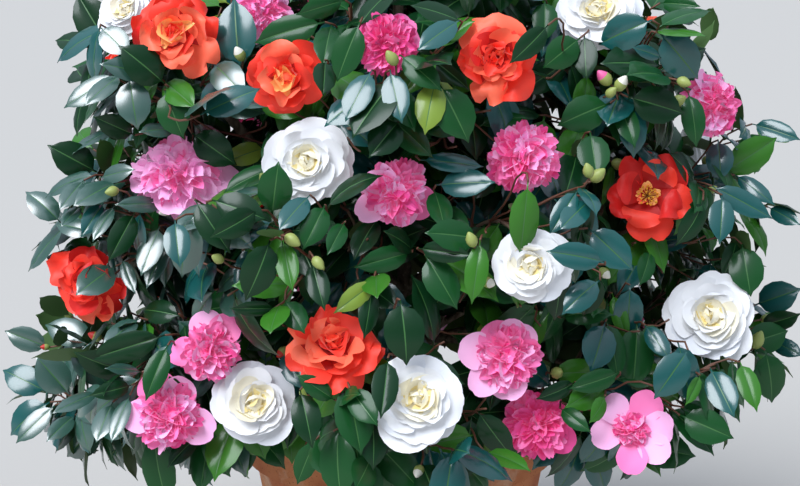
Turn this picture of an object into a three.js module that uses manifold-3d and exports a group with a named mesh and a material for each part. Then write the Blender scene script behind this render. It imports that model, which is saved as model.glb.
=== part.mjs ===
// Camellia shrub in a round terracotta pot: the pot with its fill of compost, a short trunk that forks into
// stems, side boughs, and the masses of foliage that they carry. Millimetres, +Z up. The origin is the middle
// of the pot's flat underside, and the side that is seen first faces -Y.

import * as THREE from "three";
import { mergeVertices } from "three/addons/utils/BufferGeometryUtils.js";
import Module from "manifold-3d";

const wasm = await Module();
wasm.setup();

// Pot, a plain thrown shape with a deep rim band
const POT_HEIGHT = 360;
const RIM_RADIUS = 215;
const RIM_BAND = 64;
const RIM_STEP = 14;
const RIM_ROUND = 8;
const FOOT_RADIUS = 145;
const FOOT_BEVEL = 4;
const WALL = 15;
const FLOOR = 18;
const POT_SIDES = 36;
const DRAIN_RADIUS = 9;
const DRAIN_RING = 70;
const DRAIN_COUNT = 4;
const DRAIN_SIDES = 12;
const DRILL_LENGTH = 54;

// Compost, below the rim by the depth left for water, and level over the middle share of its top
const WATER_DEPTH = 40;
const COMPOST_FALL = 5;
const COMPOST_LEVEL_SHARE = 0.6;

// Crown, from the widest level of the leaves up to the top leaf
const CROWN_HALF_WIDTH = 524;
const CROWN_HALF_DEPTH = 490;
const WIDEST_HEIGHT = 470;
const TOP_HEIGHT = 1140;

// Foliage masses stand in rings, from the skirt over the rim to the top. radius and rise are half-sizes,
// and turn is how far the ring is turned on, in steps of its own.
const RINGS = [
  { name: "skirt", count: 8, height: 462, radius: 150, rise: 102, turn: 0 },
  { name: "middle", count: 8, height: 638, radius: 155, rise: 126, turn: 0.5 },
  { name: "upper", count: 6, height: 816, radius: 166, rise: 136, turn: 0 },
  { name: "top", count: 3, height: 988, radius: 166, rise: 142, turn: 0 },
];
const MASS_GAP = 5;
const MASS_DETAIL = 2;
const WANDER = 9;
const FIRST_SEED = 8;
const DEEP_SEED = 50;
const HIGH_SEED = 100;
const LEFT_SKIRT_SAG = 62;
const RIGHT_SKIRT_LIFT = 20;

// Unevenness of a mass, as a share of its size: waves round it, from the broadest by equal steps
const LUMP = 0.055;
const LUMP_WAVES = 5;
const BROADEST_WAVE = 5;
const WAVE_STEP = 1.8;
const WAVE_SEEDS = [7, 11, 13];
const PHASE_SEED = 17;
const PHASE_SPREAD = 6;

// Trunk, with a flare that dies away up it, as shares of its radius and height, and the toes of its roots
const TRUNK_RADIUS = 19;
const TRUNK_TOP_RADIUS = 16;
const FORK_HEIGHT = 418;
const TRUNK_LEAN = 8;
const TRUNK_STEPS = 7;
const TRUNK_SIDES = 15;
const FLARE = 0.55;
const FLARE_REACH = 0.16;
const TOES = 5;
const TOE_DEPTH = 0.35;

// Stems, which leave the trunk just below the fork and bend up towards the top
const STEM_RADIUS = 11.5;
const STEM_TIP_RADIUS = 6;
const STEM_OFFSET = 6;
const STEM_DROP = 12;
const STEM_SPREAD = 74;
const STEM_BEND_RISE = 120;
const STEM_WANDER = 14;
const STEM_SEED = 300;
const STEM_REACH = 0.975;
const STEM_STEPS = 8;

// Boughs, which leave a stem below the mass that they carry and end at a depth inside it
const BOUGH_RADIUS = 6.5;
const BOUGH_TIP_RADIUS = 3.6;
const BOUGH_DROP = 85;
const BOUGH_DROP_SPREAD = 30;
const BOUGH_DROP_SEED = 400;
const LOWEST_BOUGH = 34;
const BOUGH_ARCH = 18;
const BOUGH_WANDER = 10;
const BOUGH_WANDER_SEED = 500;
const BOUGH_ENTRY = 75;
const BOUGH_STEPS = 4;
const PATH_POINTS = 60;
const LIMB_SIDES = 6;

// Clearance between pieces that touch
const GAP = 0.3;

const TERRACOTTA = new THREE.MeshStandardMaterial({ color: 0xc9794a, roughness: 0.85, metalness: 0 });
const COMPOST = new THREE.MeshStandardMaterial({ color: 0x2e2119, roughness: 1, metalness: 0 });
const BARK = new THREE.MeshStandardMaterial({ color: 0x8a7a66, roughness: 0.9, metalness: 0 });
const LEAF = new THREE.MeshStandardMaterial({ color: 0x1f5536, roughness: 0.4, metalness: 0 });

// A closed geometry as a solid whose shared corners are merged.
function solidOf(geometry) {
  const bare = geometry.clone();
  bare.deleteAttribute("normal");
  bare.deleteAttribute("uv");
  const merged = mergeVertices(bare, 1e-3);
  const triVerts = new Uint32Array(merged.index.array);
  return new wasm.Manifold(
    new wasm.Mesh({ numProp: 3, vertProperties: merged.attributes.position.array, triVerts }),
  );
}

// A solid as a geometry again.
function geometryOf(solid) {
  const mesh = solid.getMesh();
  const corners = new Float32Array(mesh.numVert * 3);
  for (let i = 0; i < mesh.numVert; i++) {
    corners.set(mesh.vertProperties.subarray(i * mesh.numProp, i * mesh.numProp + 3), i * 3);
  }
  const geometry = new THREE.BufferGeometry();
  geometry.setAttribute("position", new THREE.BufferAttribute(corners, 3));
  geometry.setIndex(new THREE.BufferAttribute(mesh.triVerts, 1));
  return geometry;
}

// A small steady number between -1 and 1 that differs from seed to seed.
function wander(seed) {
  const wave = Math.sin(seed * 127.1 + 311.7) * 43758.5453;
  return 2 * (wave - Math.floor(wave)) - 1;
}

// The inner radius of the pot at a height: the wall leans out evenly from the floor to the rim.
const innerTop = RIM_RADIUS - RIM_STEP - RIM_ROUND / 2;
const innerFoot = FOOT_RADIUS - WALL;
function innerRadius(height) {
  const share = (height - FLOOR) / (POT_HEIGHT - RIM_ROUND - FLOOR);
  return innerFoot + (innerTop - innerFoot) * share;
}

function makePot() {
  const bandFoot = POT_HEIGHT - RIM_BAND;
  const outline = [
    [0, 0],
    [FOOT_RADIUS - FOOT_BEVEL, 0],
    [FOOT_RADIUS, FOOT_BEVEL],
    [RIM_RADIUS - RIM_STEP - FOOT_BEVEL, bandFoot - FOOT_BEVEL],
    [RIM_RADIUS - FOOT_BEVEL, bandFoot],
    [RIM_RADIUS, POT_HEIGHT - RIM_ROUND],
    [RIM_RADIUS - RIM_ROUND, POT_HEIGHT],
    [innerTop + RIM_ROUND / 2, POT_HEIGHT],
    [innerTop, POT_HEIGHT - RIM_ROUND],
    [innerFoot, FLOOR],
    [0, FLOOR],
  ].map(([radius, height]) => new THREE.Vector2(radius, height));
  let pot = solidOf(new THREE.LatheGeometry(outline, POT_SIDES).rotateX(Math.PI / 2));
  for (let i = 0; i < DRAIN_COUNT; i++) {
    const turn = ((i + 0.5) / DRAIN_COUNT) * 2 * Math.PI;
    const drill = new THREE.CylinderGeometry(DRAIN_RADIUS, DRAIN_RADIUS, DRILL_LENGTH, DRAIN_SIDES)
      .rotateX(Math.PI / 2)
      .translate(DRAIN_RING * Math.cos(turn), DRAIN_RING * Math.sin(turn), 0);
    pot = pot.subtract(solidOf(drill));
  }
  return pot;
}

const compostTop = POT_HEIGHT - WATER_DEPTH;

function makeCompost() {
  // The fill is a polygon of the same turns as the pot, so its flats lie against the wall's flats.
  const outline = [
    [0, FLOOR + GAP],
    [innerRadius(FLOOR) - 2 * GAP, FLOOR + GAP],
    [innerRadius(compostTop - COMPOST_FALL) - 2 * GAP, compostTop - COMPOST_FALL],
    [innerRadius(compostTop) * COMPOST_LEVEL_SHARE, compostTop],
    [0, compostTop],
  ].map(([radius, height]) => new THREE.Vector2(radius, height));
  return solidOf(new THREE.LatheGeometry(outline, POT_SIDES).rotateX(Math.PI / 2));
}

// A round limb along a curve: a cylinder whose rings are moved onto it. radiusAt gives each ring's radius,
// and extra makes the whole limb larger by that much, for the socket that it sits in.
function limbSolid({ curve, radiusAt, steps, sides }, extra = 0) {
  const limb = new THREE.CylinderGeometry(1, 1, 1, sides, steps);
  const frames = curve.computeFrenetFrames(steps, false);
  const place = limb.attributes.position;
  for (let i = 0; i < place.count; i++) {
    const share = place.getY(i) + 0.5;
    const ring = Math.round(share * steps);
    const turn = Math.atan2(place.getZ(i), place.getX(i));
    const away = Math.hypot(place.getX(i), place.getZ(i)) * (radiusAt(share, turn) + extra);
    const point = curve
      .getPointAt(share)
      .addScaledVector(frames.normals[ring], away * Math.cos(turn))
      .addScaledVector(frames.binormals[ring], -away * Math.sin(turn))
      .addScaledVector(frames.tangents[ring], ring === steps ? extra : 0);
    place.setXYZ(i, point.x, point.y, point.z);
  }
  return solidOf(limb);
}

const taper = (from, to) => (share) => from + (to - from) * share;

// Half-width of the crown's outline at a height, as a share of its widest.
function outlineShare(height) {
  const up = (height - WIDEST_HEIGHT) / (TOP_HEIGHT - WIDEST_HEIGHT);
  return Math.sqrt(Math.max(0, 1 - up * up));
}

const SECTORS = ["front", "front_right", "right", "back_right", "back", "back_left", "left", "front_left"];

// Where each mass stands: its ring touches the crown's outline from inside.
const masses = [];
for (const ring of RINGS) {
  for (let i = 0; i < ring.count; i++) {
    const seed = masses.length + FIRST_SEED;
    const turn = ((i + ring.turn) / ring.count) * 2 * Math.PI - Math.PI / 2;
    const sector = SECTORS[Math.floor((i / ring.count) * SECTORS.length + 0.5) % SECTORS.length];
    const across = CROWN_HALF_WIDTH * outlineShare(ring.height) - ring.radius;
    const deep = CROWN_HALF_DEPTH * outlineShare(ring.height) - ring.radius;
    const centre = new THREE.Vector3(
      across * Math.cos(turn) + WANDER * wander(seed),
      deep * Math.sin(turn) + WANDER * wander(seed + DEEP_SEED),
      ring.height + WANDER * wander(seed + HIGH_SEED),
    );
    if (ring.name === "skirt" && sector === "left") centre.z -= LEFT_SKIRT_SAG;
    if (ring.name === "skirt" && sector === "right") centre.z += RIGHT_SKIRT_LIFT;
    masses.push({ name: `foliage_${ring.name}_${sector}`, ring, centre, seed });
  }
}

// Unevenness of a mass's surface in one direction: waves that run across it in directions of their own.
function lump(way, seed) {
  let sum = 0;
  for (let k = 1; k <= LUMP_WAVES; k++) {
    const across = new THREE.Vector3(...WAVE_SEEDS.map((step) => wander(seed * step + k)));
    const phase = PHASE_SPREAD * wander(seed * PHASE_SEED + k);
    const wave = BROADEST_WAVE + WAVE_STEP * (k - 1);
    sum += Math.sin(wave * way.dot(across) + phase) / Math.sqrt(k);
  }
  return sum;
}

// One mass: a round solid drawn in where it would meet a neighbour, so that a gap stays between them.
function makeMass(mass) {
  const ball = new THREE.IcosahedronGeometry(1, MASS_DETAIL);
  const place = ball.attributes.position;
  const { radius, rise } = mass.ring;
  for (let i = 0; i < place.count; i++) {
    const way = new THREE.Vector3().fromBufferAttribute(place, i).normalize();
    let reach = 1 / Math.sqrt((way.x ** 2 + way.y ** 2) / radius ** 2 + way.z ** 2 / rise ** 2);
    reach *= 1 + LUMP * lump(way, mass.seed);
    for (const other of masses) {
      if (other === mass) continue;
      const towards = other.centre.clone().sub(mass.centre);
      const half = towards.length() / 2 - MASS_GAP / 2;
      const along = way.dot(towards.normalize());
      if (along > 0) reach = Math.min(reach, half / along);
    }
    const point = mass.centre.clone().addScaledVector(way, reach);
    place.setXYZ(i, point.x, point.y, point.z);
  }
  return solidOf(ball);
}

// Trunk: short, leaning a little, flared where its roots spread at the compost.
const foot = new THREE.Vector3(0, 0, compostTop + GAP);
const fork = new THREE.Vector3(TRUNK_LEAN, -TRUNK_LEAN / 2, FORK_HEIGHT);
const upright = foot.clone().setZ(foot.z + (fork.z - foot.z) / 4);
const leaning = upright.clone().lerp(fork, 0.5);
function trunkRadius(share, turn) {
  const flare = FLARE * Math.exp(-share / FLARE_REACH);
  const toes = 1 + TOE_DEPTH * flare * Math.cos(TOES * turn);
  return taper(TRUNK_RADIUS, TRUNK_TOP_RADIUS)(share) * (1 + flare) * toes;
}
const trunk = {
  curve: new THREE.CatmullRomCurve3([foot, upright, leaning, fork]),
  radiusAt: trunkRadius,
  steps: TRUNK_STEPS,
  sides: TRUNK_SIDES,
};

// Stems: each leaves the fork, opens out and rises into one mass of the top or upper ring.
const crownTops = masses.filter((mass) => mass.ring.name === "top");
const shoulders = masses.filter((mass) => mass.ring.name === "upper");
const stemTargets = [crownTops[0], shoulders[1], crownTops[1], crownTops[2], shoulders[5]];
const stems = stemTargets.map((target, i) => {
  const turn = Math.atan2(target.centre.y, target.centre.x);
  const out = new THREE.Vector3(Math.cos(turn), Math.sin(turn), 0);
  const low = fork.clone().addScaledVector(out, STEM_OFFSET).setZ(fork.z - STEM_DROP);
  const bend = fork.clone().addScaledVector(out, STEM_SPREAD).setZ(fork.z + STEM_BEND_RISE);
  const sideways = STEM_WANDER * wander(i + STEM_SEED);
  const near = bend.clone().lerp(target.centre, 0.5).addScaledVector(out, sideways);
  const end = bend.clone().lerp(target.centre, STEM_REACH);
  return {
    name: `stem_${i + 1}`,
    curve: new THREE.CatmullRomCurve3([low, bend, near, end]),
    radiusAt: taper(STEM_RADIUS, STEM_TIP_RADIUS),
    steps: STEM_STEPS,
    sides: LIMB_SIDES,
    turn,
  };
});

// The first point along a rising curve that is as high as asked.
function pointAtHeight(curve, height) {
  return curve.getSpacedPoints(PATH_POINTS).find((point) => point.z >= height);
}

// Boughs: every other mass hangs on one, which leaves the stem that stands nearest to its side.
const carried = new Set(stemTargets);
const boughs = masses
  .filter((mass) => !carried.has(mass))
  .map((mass) => {
    const side = (stem) => Math.cos(stem.turn - Math.atan2(mass.centre.y, mass.centre.x));
    const stem = stems.reduce((best, other) => (side(other) > side(best) ? other : best));
    const drop = BOUGH_DROP + BOUGH_DROP_SPREAD * Math.abs(wander(mass.seed + BOUGH_DROP_SEED));
    const start = pointAtHeight(stem.curve, Math.max(FORK_HEIGHT + LOWEST_BOUGH, mass.centre.z - drop));
    const inward = start.clone().sub(mass.centre).normalize();
    const end = mass.centre.clone().addScaledVector(inward, mass.ring.radius - BOUGH_ENTRY);
    const middle = start.clone().lerp(end, 0.5);
    middle.z += BOUGH_ARCH + BOUGH_WANDER * wander(mass.seed + BOUGH_WANDER_SEED);
    return {
      name: mass.name.replace("foliage", "bough"),
      curve: new THREE.CatmullRomCurve3([start, middle, end]),
      radiusAt: taper(BOUGH_RADIUS, BOUGH_TIP_RADIUS),
      steps: BOUGH_STEPS,
      sides: LIMB_SIDES,
    };
  });

// Each limb is cut where an earlier one carries it, and each mass where a limb enters it.
const sockets = [limbSolid(trunk, GAP)];
const limbs = [...stems, ...boughs].map((limb) => {
  let solid = limbSolid(limb);
  for (const socket of sockets) solid = solid.subtract(socket);
  sockets.push(limbSolid(limb, GAP));
  return { name: limb.name, solid };
});
const foliage = masses.map((mass) => {
  let solid = makeMass(mass);
  for (const socket of sockets.slice(1)) solid = solid.subtract(socket);
  return { name: mass.name, solid };
});

const shrub = new THREE.Group();
function add(name, solid, material) {
  const mesh = new THREE.Mesh(geometryOf(solid), material);
  mesh.name = name;
  shrub.add(mesh);
}
add("pot", makePot(), TERRACOTTA);
add("compost", makeCompost(), COMPOST);
add("trunk", limbSolid(trunk), BARK);
for (const limb of limbs) add(limb.name, limb.solid, BARK);
for (const mass of foliage) add(mass.name, mass.solid, LEAF);

export default shrub;
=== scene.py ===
"""A camellia shrub in full flower, in a round terracotta pot that stands on the floor at the origin.

Metres, +Z up. The side that the photograph shows faces -Y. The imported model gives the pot, the trunk, the limbs
and the outline of each mass of foliage. Here twigs, leaves and blooms grow on from the limbs into those masses.
"""
import math
from contextlib import contextmanager

import bpy
import numpy as np
from mathutils import Matrix, Vector
from mathutils.bvhtree import BVHTree


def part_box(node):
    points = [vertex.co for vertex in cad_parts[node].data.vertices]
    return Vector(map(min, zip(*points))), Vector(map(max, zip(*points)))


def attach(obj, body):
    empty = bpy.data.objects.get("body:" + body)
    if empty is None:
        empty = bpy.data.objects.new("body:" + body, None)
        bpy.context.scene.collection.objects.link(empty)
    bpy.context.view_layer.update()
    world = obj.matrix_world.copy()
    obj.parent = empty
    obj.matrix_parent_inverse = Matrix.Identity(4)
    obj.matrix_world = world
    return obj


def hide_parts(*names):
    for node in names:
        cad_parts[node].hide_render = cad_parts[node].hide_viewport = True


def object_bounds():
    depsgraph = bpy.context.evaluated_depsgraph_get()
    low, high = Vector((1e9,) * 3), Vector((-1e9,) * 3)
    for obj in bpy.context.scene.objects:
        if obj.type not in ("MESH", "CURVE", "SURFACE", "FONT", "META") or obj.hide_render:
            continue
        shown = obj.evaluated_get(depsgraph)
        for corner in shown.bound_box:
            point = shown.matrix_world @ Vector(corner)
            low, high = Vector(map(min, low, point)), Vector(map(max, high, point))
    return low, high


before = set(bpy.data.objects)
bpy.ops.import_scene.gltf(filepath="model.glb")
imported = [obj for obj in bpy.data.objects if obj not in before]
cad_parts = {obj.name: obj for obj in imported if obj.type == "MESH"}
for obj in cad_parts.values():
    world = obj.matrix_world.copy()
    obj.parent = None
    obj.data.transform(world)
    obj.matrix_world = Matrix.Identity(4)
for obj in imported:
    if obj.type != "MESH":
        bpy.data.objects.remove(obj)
cad_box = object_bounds()


# The photograph's camera. It looks a little down on the shrub from two metres off, and its frame cuts the crown
# at the top and at the foot, so the pot is below the view. Pixels in this file are in its 800 by 486 frame.
PHOTO_WIDTH = 800
PHOTO_HEIGHT = 486
FOCAL_LENGTH_PX = 1553
SENSOR_WIDTH_MM = 36
CAMERA_PLACE = Vector((0.0, -2.06, 0.98))
CAMERA_PITCH = math.radians(10.9)
LEAST_AHEAD = 0.01
VIEW_RIGHT = Vector((1, 0, 0))
VIEW_UP = Vector((0, math.sin(CAMERA_PITCH), math.cos(CAMERA_PITCH)))
VIEW_AHEAD = Vector((0, math.cos(CAMERA_PITCH), -math.sin(CAMERA_PITCH)))

lens = bpy.data.cameras.new("photograph_camera")
lens.sensor_width = SENSOR_WIDTH_MM
lens.lens = FOCAL_LENGTH_PX * SENSOR_WIDTH_MM / PHOTO_WIDTH
camera = bpy.data.objects.new("photograph_camera", lens)
camera.location = CAMERA_PLACE
camera.rotation_euler = (math.radians(90) - CAMERA_PITCH, 0, 0)
bpy.context.collection.objects.link(camera)
bpy.context.scene.camera = camera


def sight_line(x, y):
    """The direction from the camera through a pixel of the photograph."""
    right = (x - PHOTO_WIDTH / 2) / FOCAL_LENGTH_PX
    up = (PHOTO_HEIGHT / 2 - y) / FOCAL_LENGTH_PX
    return (VIEW_AHEAD + VIEW_RIGHT * right + VIEW_UP * up).normalized()


def in_picture(points):
    """Where points fall in the photograph: arrays of x and y in pixels, and of the distance ahead of the camera."""
    away = np.asarray(points) - np.array(CAMERA_PLACE)
    ahead = away @ np.array(VIEW_AHEAD)
    divisor = np.maximum(ahead, LEAST_AHEAD)
    x = PHOTO_WIDTH / 2 + FOCAL_LENGTH_PX * (away @ np.array(VIEW_RIGHT)) / divisor
    y = PHOTO_HEIGHT / 2 - FOCAL_LENGTH_PX * (away @ np.array(VIEW_UP)) / divisor
    return x, y, ahead


# The pot: red earthenware clay thrown on a wheel, with a deep rim band, a flat foot and four drain holes, fired
# unglazed. Its profile is spun round the axis as on the wheel, the holes are cut and the edges rounded.
POT_HEIGHT = 0.360
RIM_RADIUS = 0.215
RIM_BAND = 0.064
RIM_STEP = 0.014
RIM_ROUND = 0.008
BAND_TAPER = 0.001
FOOT_RADIUS = 0.145
WALL = 0.015
POT_FLOOR = 0.018
WALL_TOP_RADIUS = RIM_RADIUS - RIM_STEP - RIM_ROUND / 2
DRAIN_RADIUS = 0.009
DRAIN_RING = 0.070
DRAIN_COUNT = 4
DRAIN_SIDES = 24
POT_TURN_STEPS = 96
EDGE_ROUND = 0.0028
EDGE_STEPS = 3
ROUNDED_FROM = math.radians(28)
SMOOTH_UP_TO = math.radians(50)
WELD = 1e-5


def only(piece):
    """Leaves one object selected and active, as the operators need."""
    bpy.ops.object.select_all(action="DESELECT")
    piece.select_set(True)
    bpy.context.view_layer.objects.active = piece


@contextmanager
def edited(piece):
    """Edit mode on one object, with all of it selected."""
    only(piece)
    bpy.ops.object.mode_set(mode="EDIT")
    bpy.ops.mesh.select_all(action="SELECT")
    yield
    bpy.ops.object.mode_set(mode="OBJECT")


def apply_modifier(piece, kind, **settings):
    """Adds a modifier with its settings and applies it at once."""
    only(piece)
    modifier = piece.modifiers.new(kind.lower(), kind)
    for name, value in settings.items():
        setattr(modifier, name, value)
    bpy.ops.object.modifier_apply(modifier=modifier.name)


def linear(hex_colour):
    """An sRGB hex colour as linear RGBA."""
    shares = [int(hex_colour[i : i + 2], 16) / 255 for i in (1, 3, 5)]
    return tuple(c / 12.92 if c <= 0.04045 else ((c + 0.055) / 1.055) ** 2.4 for c in shares) + (1.0,)


def wire(holder, node, inputs):
    """Gives each named socket of a node, in a material or a world, a value or the output that feeds it."""
    for socket, value in inputs.items():
        if isinstance(value, bpy.types.NodeSocket):
            holder.node_tree.links.new(value, node.inputs[socket])
        else:
            node.inputs[socket].default_value = value


def add_node(holder, kind, output, inputs=None, stops=(), **settings):
    """Adds a node and returns one of its outputs. stops are a colour ramp's positions and colours, in order."""
    node = holder.node_tree.nodes.new("ShaderNode" + kind)
    for name, value in settings.items():
        setattr(node, name, value)
    wire(holder, node, inputs or {})
    for number, (position, colour) in enumerate(stops):
        ramp = node.color_ramp.elements
        element = ramp[number] if number < len(ramp) else ramp.new(position)
        element.position, element.color = position, colour
    return node.outputs[output]


def new_material(name, **constants):
    """A material and its Principled shader, with the shader's own values, such as Roughness, set."""
    material = bpy.data.materials.new(name)
    material.use_nodes = True
    shader = material.node_tree.nodes["Principled BSDF"]
    wire(material, shader, {socket.replace("_", " "): value for socket, value in constants.items()})
    return material, shader


def marked(material, under, pattern, span, most, colour):
    """A colour laid over another where a pattern's value passes along a span, up to the share called most."""
    spread = {"Value": pattern, "From Min": span[0], "From Max": span[1], "To Max": most}
    share = add_node(material, "MapRange", "Result", spread)
    layers = {"Factor": share, "A": under, "B": linear(colour)}
    return add_node(material, "Mix", "Result", layers, data_type="RGBA")


def spun(name, profile, steps):
    """A closed shape thrown on a wheel: (radius, height) points from axis to axis, spun round Z."""
    mesh = bpy.data.meshes.new(name)
    edges = [(i, i + 1) for i in range(len(profile) - 1)]
    mesh.from_pydata([(radius, 0, height) for radius, height in profile], edges, [])
    piece = bpy.data.objects.new(name, mesh)
    bpy.context.collection.objects.link(piece)
    with edited(piece):
        bpy.ops.mesh.spin(steps=steps, angle=2 * math.pi, center=(0, 0, 0), axis=(0, 0, 1))
        bpy.ops.mesh.select_all(action="SELECT")
        bpy.ops.mesh.remove_doubles(threshold=WELD)
        bpy.ops.mesh.normals_make_consistent(inside=False)
    return piece


band_foot = POT_HEIGHT - RIM_BAND
pot = spun(
    "terracotta_pot",
    [
        (0, 0),
        (FOOT_RADIUS, 0),
        (RIM_RADIUS - RIM_STEP - BAND_TAPER, band_foot - BAND_TAPER),
        (RIM_RADIUS - 2 * BAND_TAPER, band_foot),
        (RIM_RADIUS, POT_HEIGHT - RIM_ROUND),
        (RIM_RADIUS - RIM_ROUND, POT_HEIGHT),
        (WALL_TOP_RADIUS + RIM_ROUND / 2, POT_HEIGHT),
        (WALL_TOP_RADIUS, POT_HEIGHT - RIM_ROUND),
        (FOOT_RADIUS - WALL, POT_FLOOR),
        (0, POT_FLOOR),
    ],
    POT_TURN_STEPS,
)
for i in range(DRAIN_COUNT):
    turn = (i + 0.5) / DRAIN_COUNT * 2 * math.pi
    place = (DRAIN_RING * math.cos(turn), DRAIN_RING * math.sin(turn), POT_FLOOR / 2)
    bpy.ops.mesh.primitive_cylinder_add(
        vertices=DRAIN_SIDES, radius=DRAIN_RADIUS, depth=3 * POT_FLOOR, location=place
    )
    drill = bpy.context.object
    apply_modifier(pot, "BOOLEAN", operation="DIFFERENCE", object=drill, solver="EXACT")
    bpy.data.objects.remove(drill)
apply_modifier(
    pot, "BEVEL", width=EDGE_ROUND, segments=EDGE_STEPS, limit_method="ANGLE", angle_limit=ROUNDED_FROM
)
bpy.ops.object.shade_smooth_by_angle(angle=SMOOTH_UP_TO)

# Unglazed earthenware: matt, porous, orange-red with paler clouds from the fire, a bloom of lime where water has
# dried through it, fine grit, and shallow rings left by the thrower's fingers every 8 mm or so.
terracotta, shader = new_material("unglazed_terracotta", Roughness=0.86, IOR=1.5, Specular_IOR_Level=0.35)
place = add_node(terracotta, "TexCoord", "Object")
clouds = add_node(terracotta, "TexNoise", "Fac", {"Vector": place, "Scale": 11.0, "Detail": 4.0})
clay_stops = ((0.32, linear("#A85A36")), (0.70, linear("#D08A5C")))
clay = add_node(terracotta, "ValToRGB", "Color", {"Fac": clouds}, clay_stops)
speckle = add_node(terracotta, "TexNoise", "Fac", {"Vector": place, "Scale": 420.0, "Detail": 2.0})
speckled = marked(terracotta, clay, speckle, (0.62, 0.72), 1.0, "#8A4A30")
lime_patches = {"Vector": place, "Scale": 16.0, "Detail": 6.0, "Roughness": 0.65}
lime = add_node(terracotta, "TexNoise", "Fac", lime_patches)
limed = marked(terracotta, speckled, lime, (0.54, 0.72), 0.55, "#E3CDB4")
finger_rings = {"Vector": place, "Scale": 20.0, "Distortion": 1.6, "Detail": 2.0, "Detail Scale": 3.0}
rings = add_node(terracotta, "TexWave", "Fac", finger_rings, bands_direction="Z")
ringed = add_node(terracotta, "Bump", "Normal", {"Height": rings, "Strength": 0.35, "Distance": 0.0006})
grit = add_node(terracotta, "TexNoise", "Fac", {"Vector": place, "Scale": 700.0, "Detail": 3.0})
fine_relief = {"Height": grit, "Strength": 0.5, "Distance": 0.0004, "Normal": ringed}
gritty = add_node(terracotta, "Bump", "Normal", fine_relief)
wire(terracotta, shader, {"Base Color": limed, "Normal": gritty})
pot.data.materials.append(terracotta)
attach(pot, "root")
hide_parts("pot")


# The compost: dark ericaceous compost, pressed down 40 mm below the rim, higher round the trunk. A grid is drawn
# round into a disc, its top roughened, and its edge is drawn down inside the pot to the floor.
COMPOST_TOP = 0.320
COMPOST_FALL = 0.005
COMPOST_CELLS = 60
COMPOST_BITE = 0.0005
COMPOST_LUMP = 0.0035
COMPOST_LUMP_SIZES = (0.06, 0.025, 0.012)
COMPOST_SEED = 3
FLOOR_GAP = 0.001


def inner_radius(height):
    """The pot's inner radius at a height."""
    share = (height - POT_FLOOR) / (POT_HEIGHT - RIM_ROUND - POT_FLOOR)
    return FOOT_RADIUS - WALL + (WALL_TOP_RADIUS - FOOT_RADIUS + WALL) * share


def ripple(points, sizes, seed):
    """A smooth uneven value from -1 to 1 at each point, from waves of the given sizes in metres."""
    dice = np.random.default_rng(seed)
    total = np.zeros(len(points))
    for size in sizes:
        for _ in range(4):
            direction = dice.normal(size=3)
            direction /= np.linalg.norm(direction)
            total += np.sin(points @ direction * 2 * np.pi / size + dice.uniform(0, 2 * np.pi)) / len(sizes) / 4
    return total * 1.6


def read_points(piece):
    """The points of a mesh as an array."""
    points = np.empty(len(piece.data.vertices) * 3)
    piece.data.vertices.foreach_get("co", points)
    return points.reshape(-1, 3)


def write_points(piece, points):
    """Moves the points of a mesh."""
    piece.data.vertices.foreach_set("co", np.asarray(points, float).ravel())
    piece.data.update()


bpy.ops.mesh.primitive_grid_add(x_subdivisions=COMPOST_CELLS, y_subdivisions=COMPOST_CELLS, size=2)
compost = bpy.context.object
compost.name = "compost_fill"
square = read_points(compost)
disc = square.copy()
disc[:, 0] = square[:, 0] * np.sqrt(1 - square[:, 1] ** 2 / 2)
disc[:, 1] = square[:, 1] * np.sqrt(1 - square[:, 0] ** 2 / 2)
out = np.hypot(disc[:, 0], disc[:, 1])
disc[:, :2] *= inner_radius(COMPOST_TOP - COMPOST_FALL) + COMPOST_BITE
disc[:, 2] = COMPOST_TOP - COMPOST_FALL * out**2
disc[:, 2] += COMPOST_LUMP * ripple(disc, COMPOST_LUMP_SIZES, COMPOST_SEED) * np.minimum(1, (1.02 - out) * 12)
write_points(compost, disc)
with edited(compost):
    bpy.ops.mesh.region_to_loop()
    bpy.ops.mesh.extrude_edges_move(
        TRANSFORM_OT_translate={"value": (0, 0, POT_FLOOR + FLOOR_GAP - COMPOST_TOP + COMPOST_FALL)}
    )
    narrowing = inner_radius(POT_FLOOR) / inner_radius(COMPOST_TOP)
    bpy.ops.transform.resize(value=(narrowing, narrowing, 0), center_override=(0, 0, POT_FLOOR + FLOOR_GAP))
    bpy.ops.mesh.edge_face_add()
    bpy.ops.mesh.select_all(action="SELECT")
    bpy.ops.mesh.normals_make_consistent(inside=False)
bpy.ops.object.shade_smooth_by_angle(angle=SMOOTH_UP_TO)

# Damp peat and composted bark: nearly black-brown, dull, in crumbs of 2 to 6 mm.
peat, shader = new_material("peat_compost", Roughness=0.95, Specular_IOR_Level=0.2)
place = add_node(peat, "TexCoord", "Object")
damp = add_node(peat, "TexNoise", "Fac", {"Vector": place, "Scale": 90.0, "Detail": 5.0})
peat_stops = ((0.34, linear("#1C130D")), (0.68, linear("#4A3526")))
peat_colour = add_node(peat, "ValToRGB", "Color", {"Fac": damp}, peat_stops)
crumb = add_node(peat, "TexVoronoi", "Distance", {"Vector": place, "Scale": 240.0})
crumbly = add_node(peat, "Bump", "Normal", {"Height": crumb, "Strength": 0.9, "Distance": 0.003})
wire(peat, shader, {"Base Color": peat_colour, "Normal": crumbly})
compost.data.materials.append(peat)
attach(compost, "root")
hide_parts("compost")


# The mulch: torn chips of pine bark, 6 to 20 mm, strewn thinly on the compost and lying at all angles. One chip
# is shaped from a cube, and its copies are joined.
CHIP_COUNT = 520
CHIP_LENGTHS = (0.006, 0.020)
CHIP_SHAPE = (1.0, 0.55, 0.22)
CHIP_WEAR = (-0.3, 0.2)
CHIP_TILT = 0.35
CHIP_LIFT = 0.0015
CHIP_SMOOTH_UP_TO = math.radians(35)
MULCH_REACH = 0.965
mulch_dice = np.random.default_rng(21)


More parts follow.
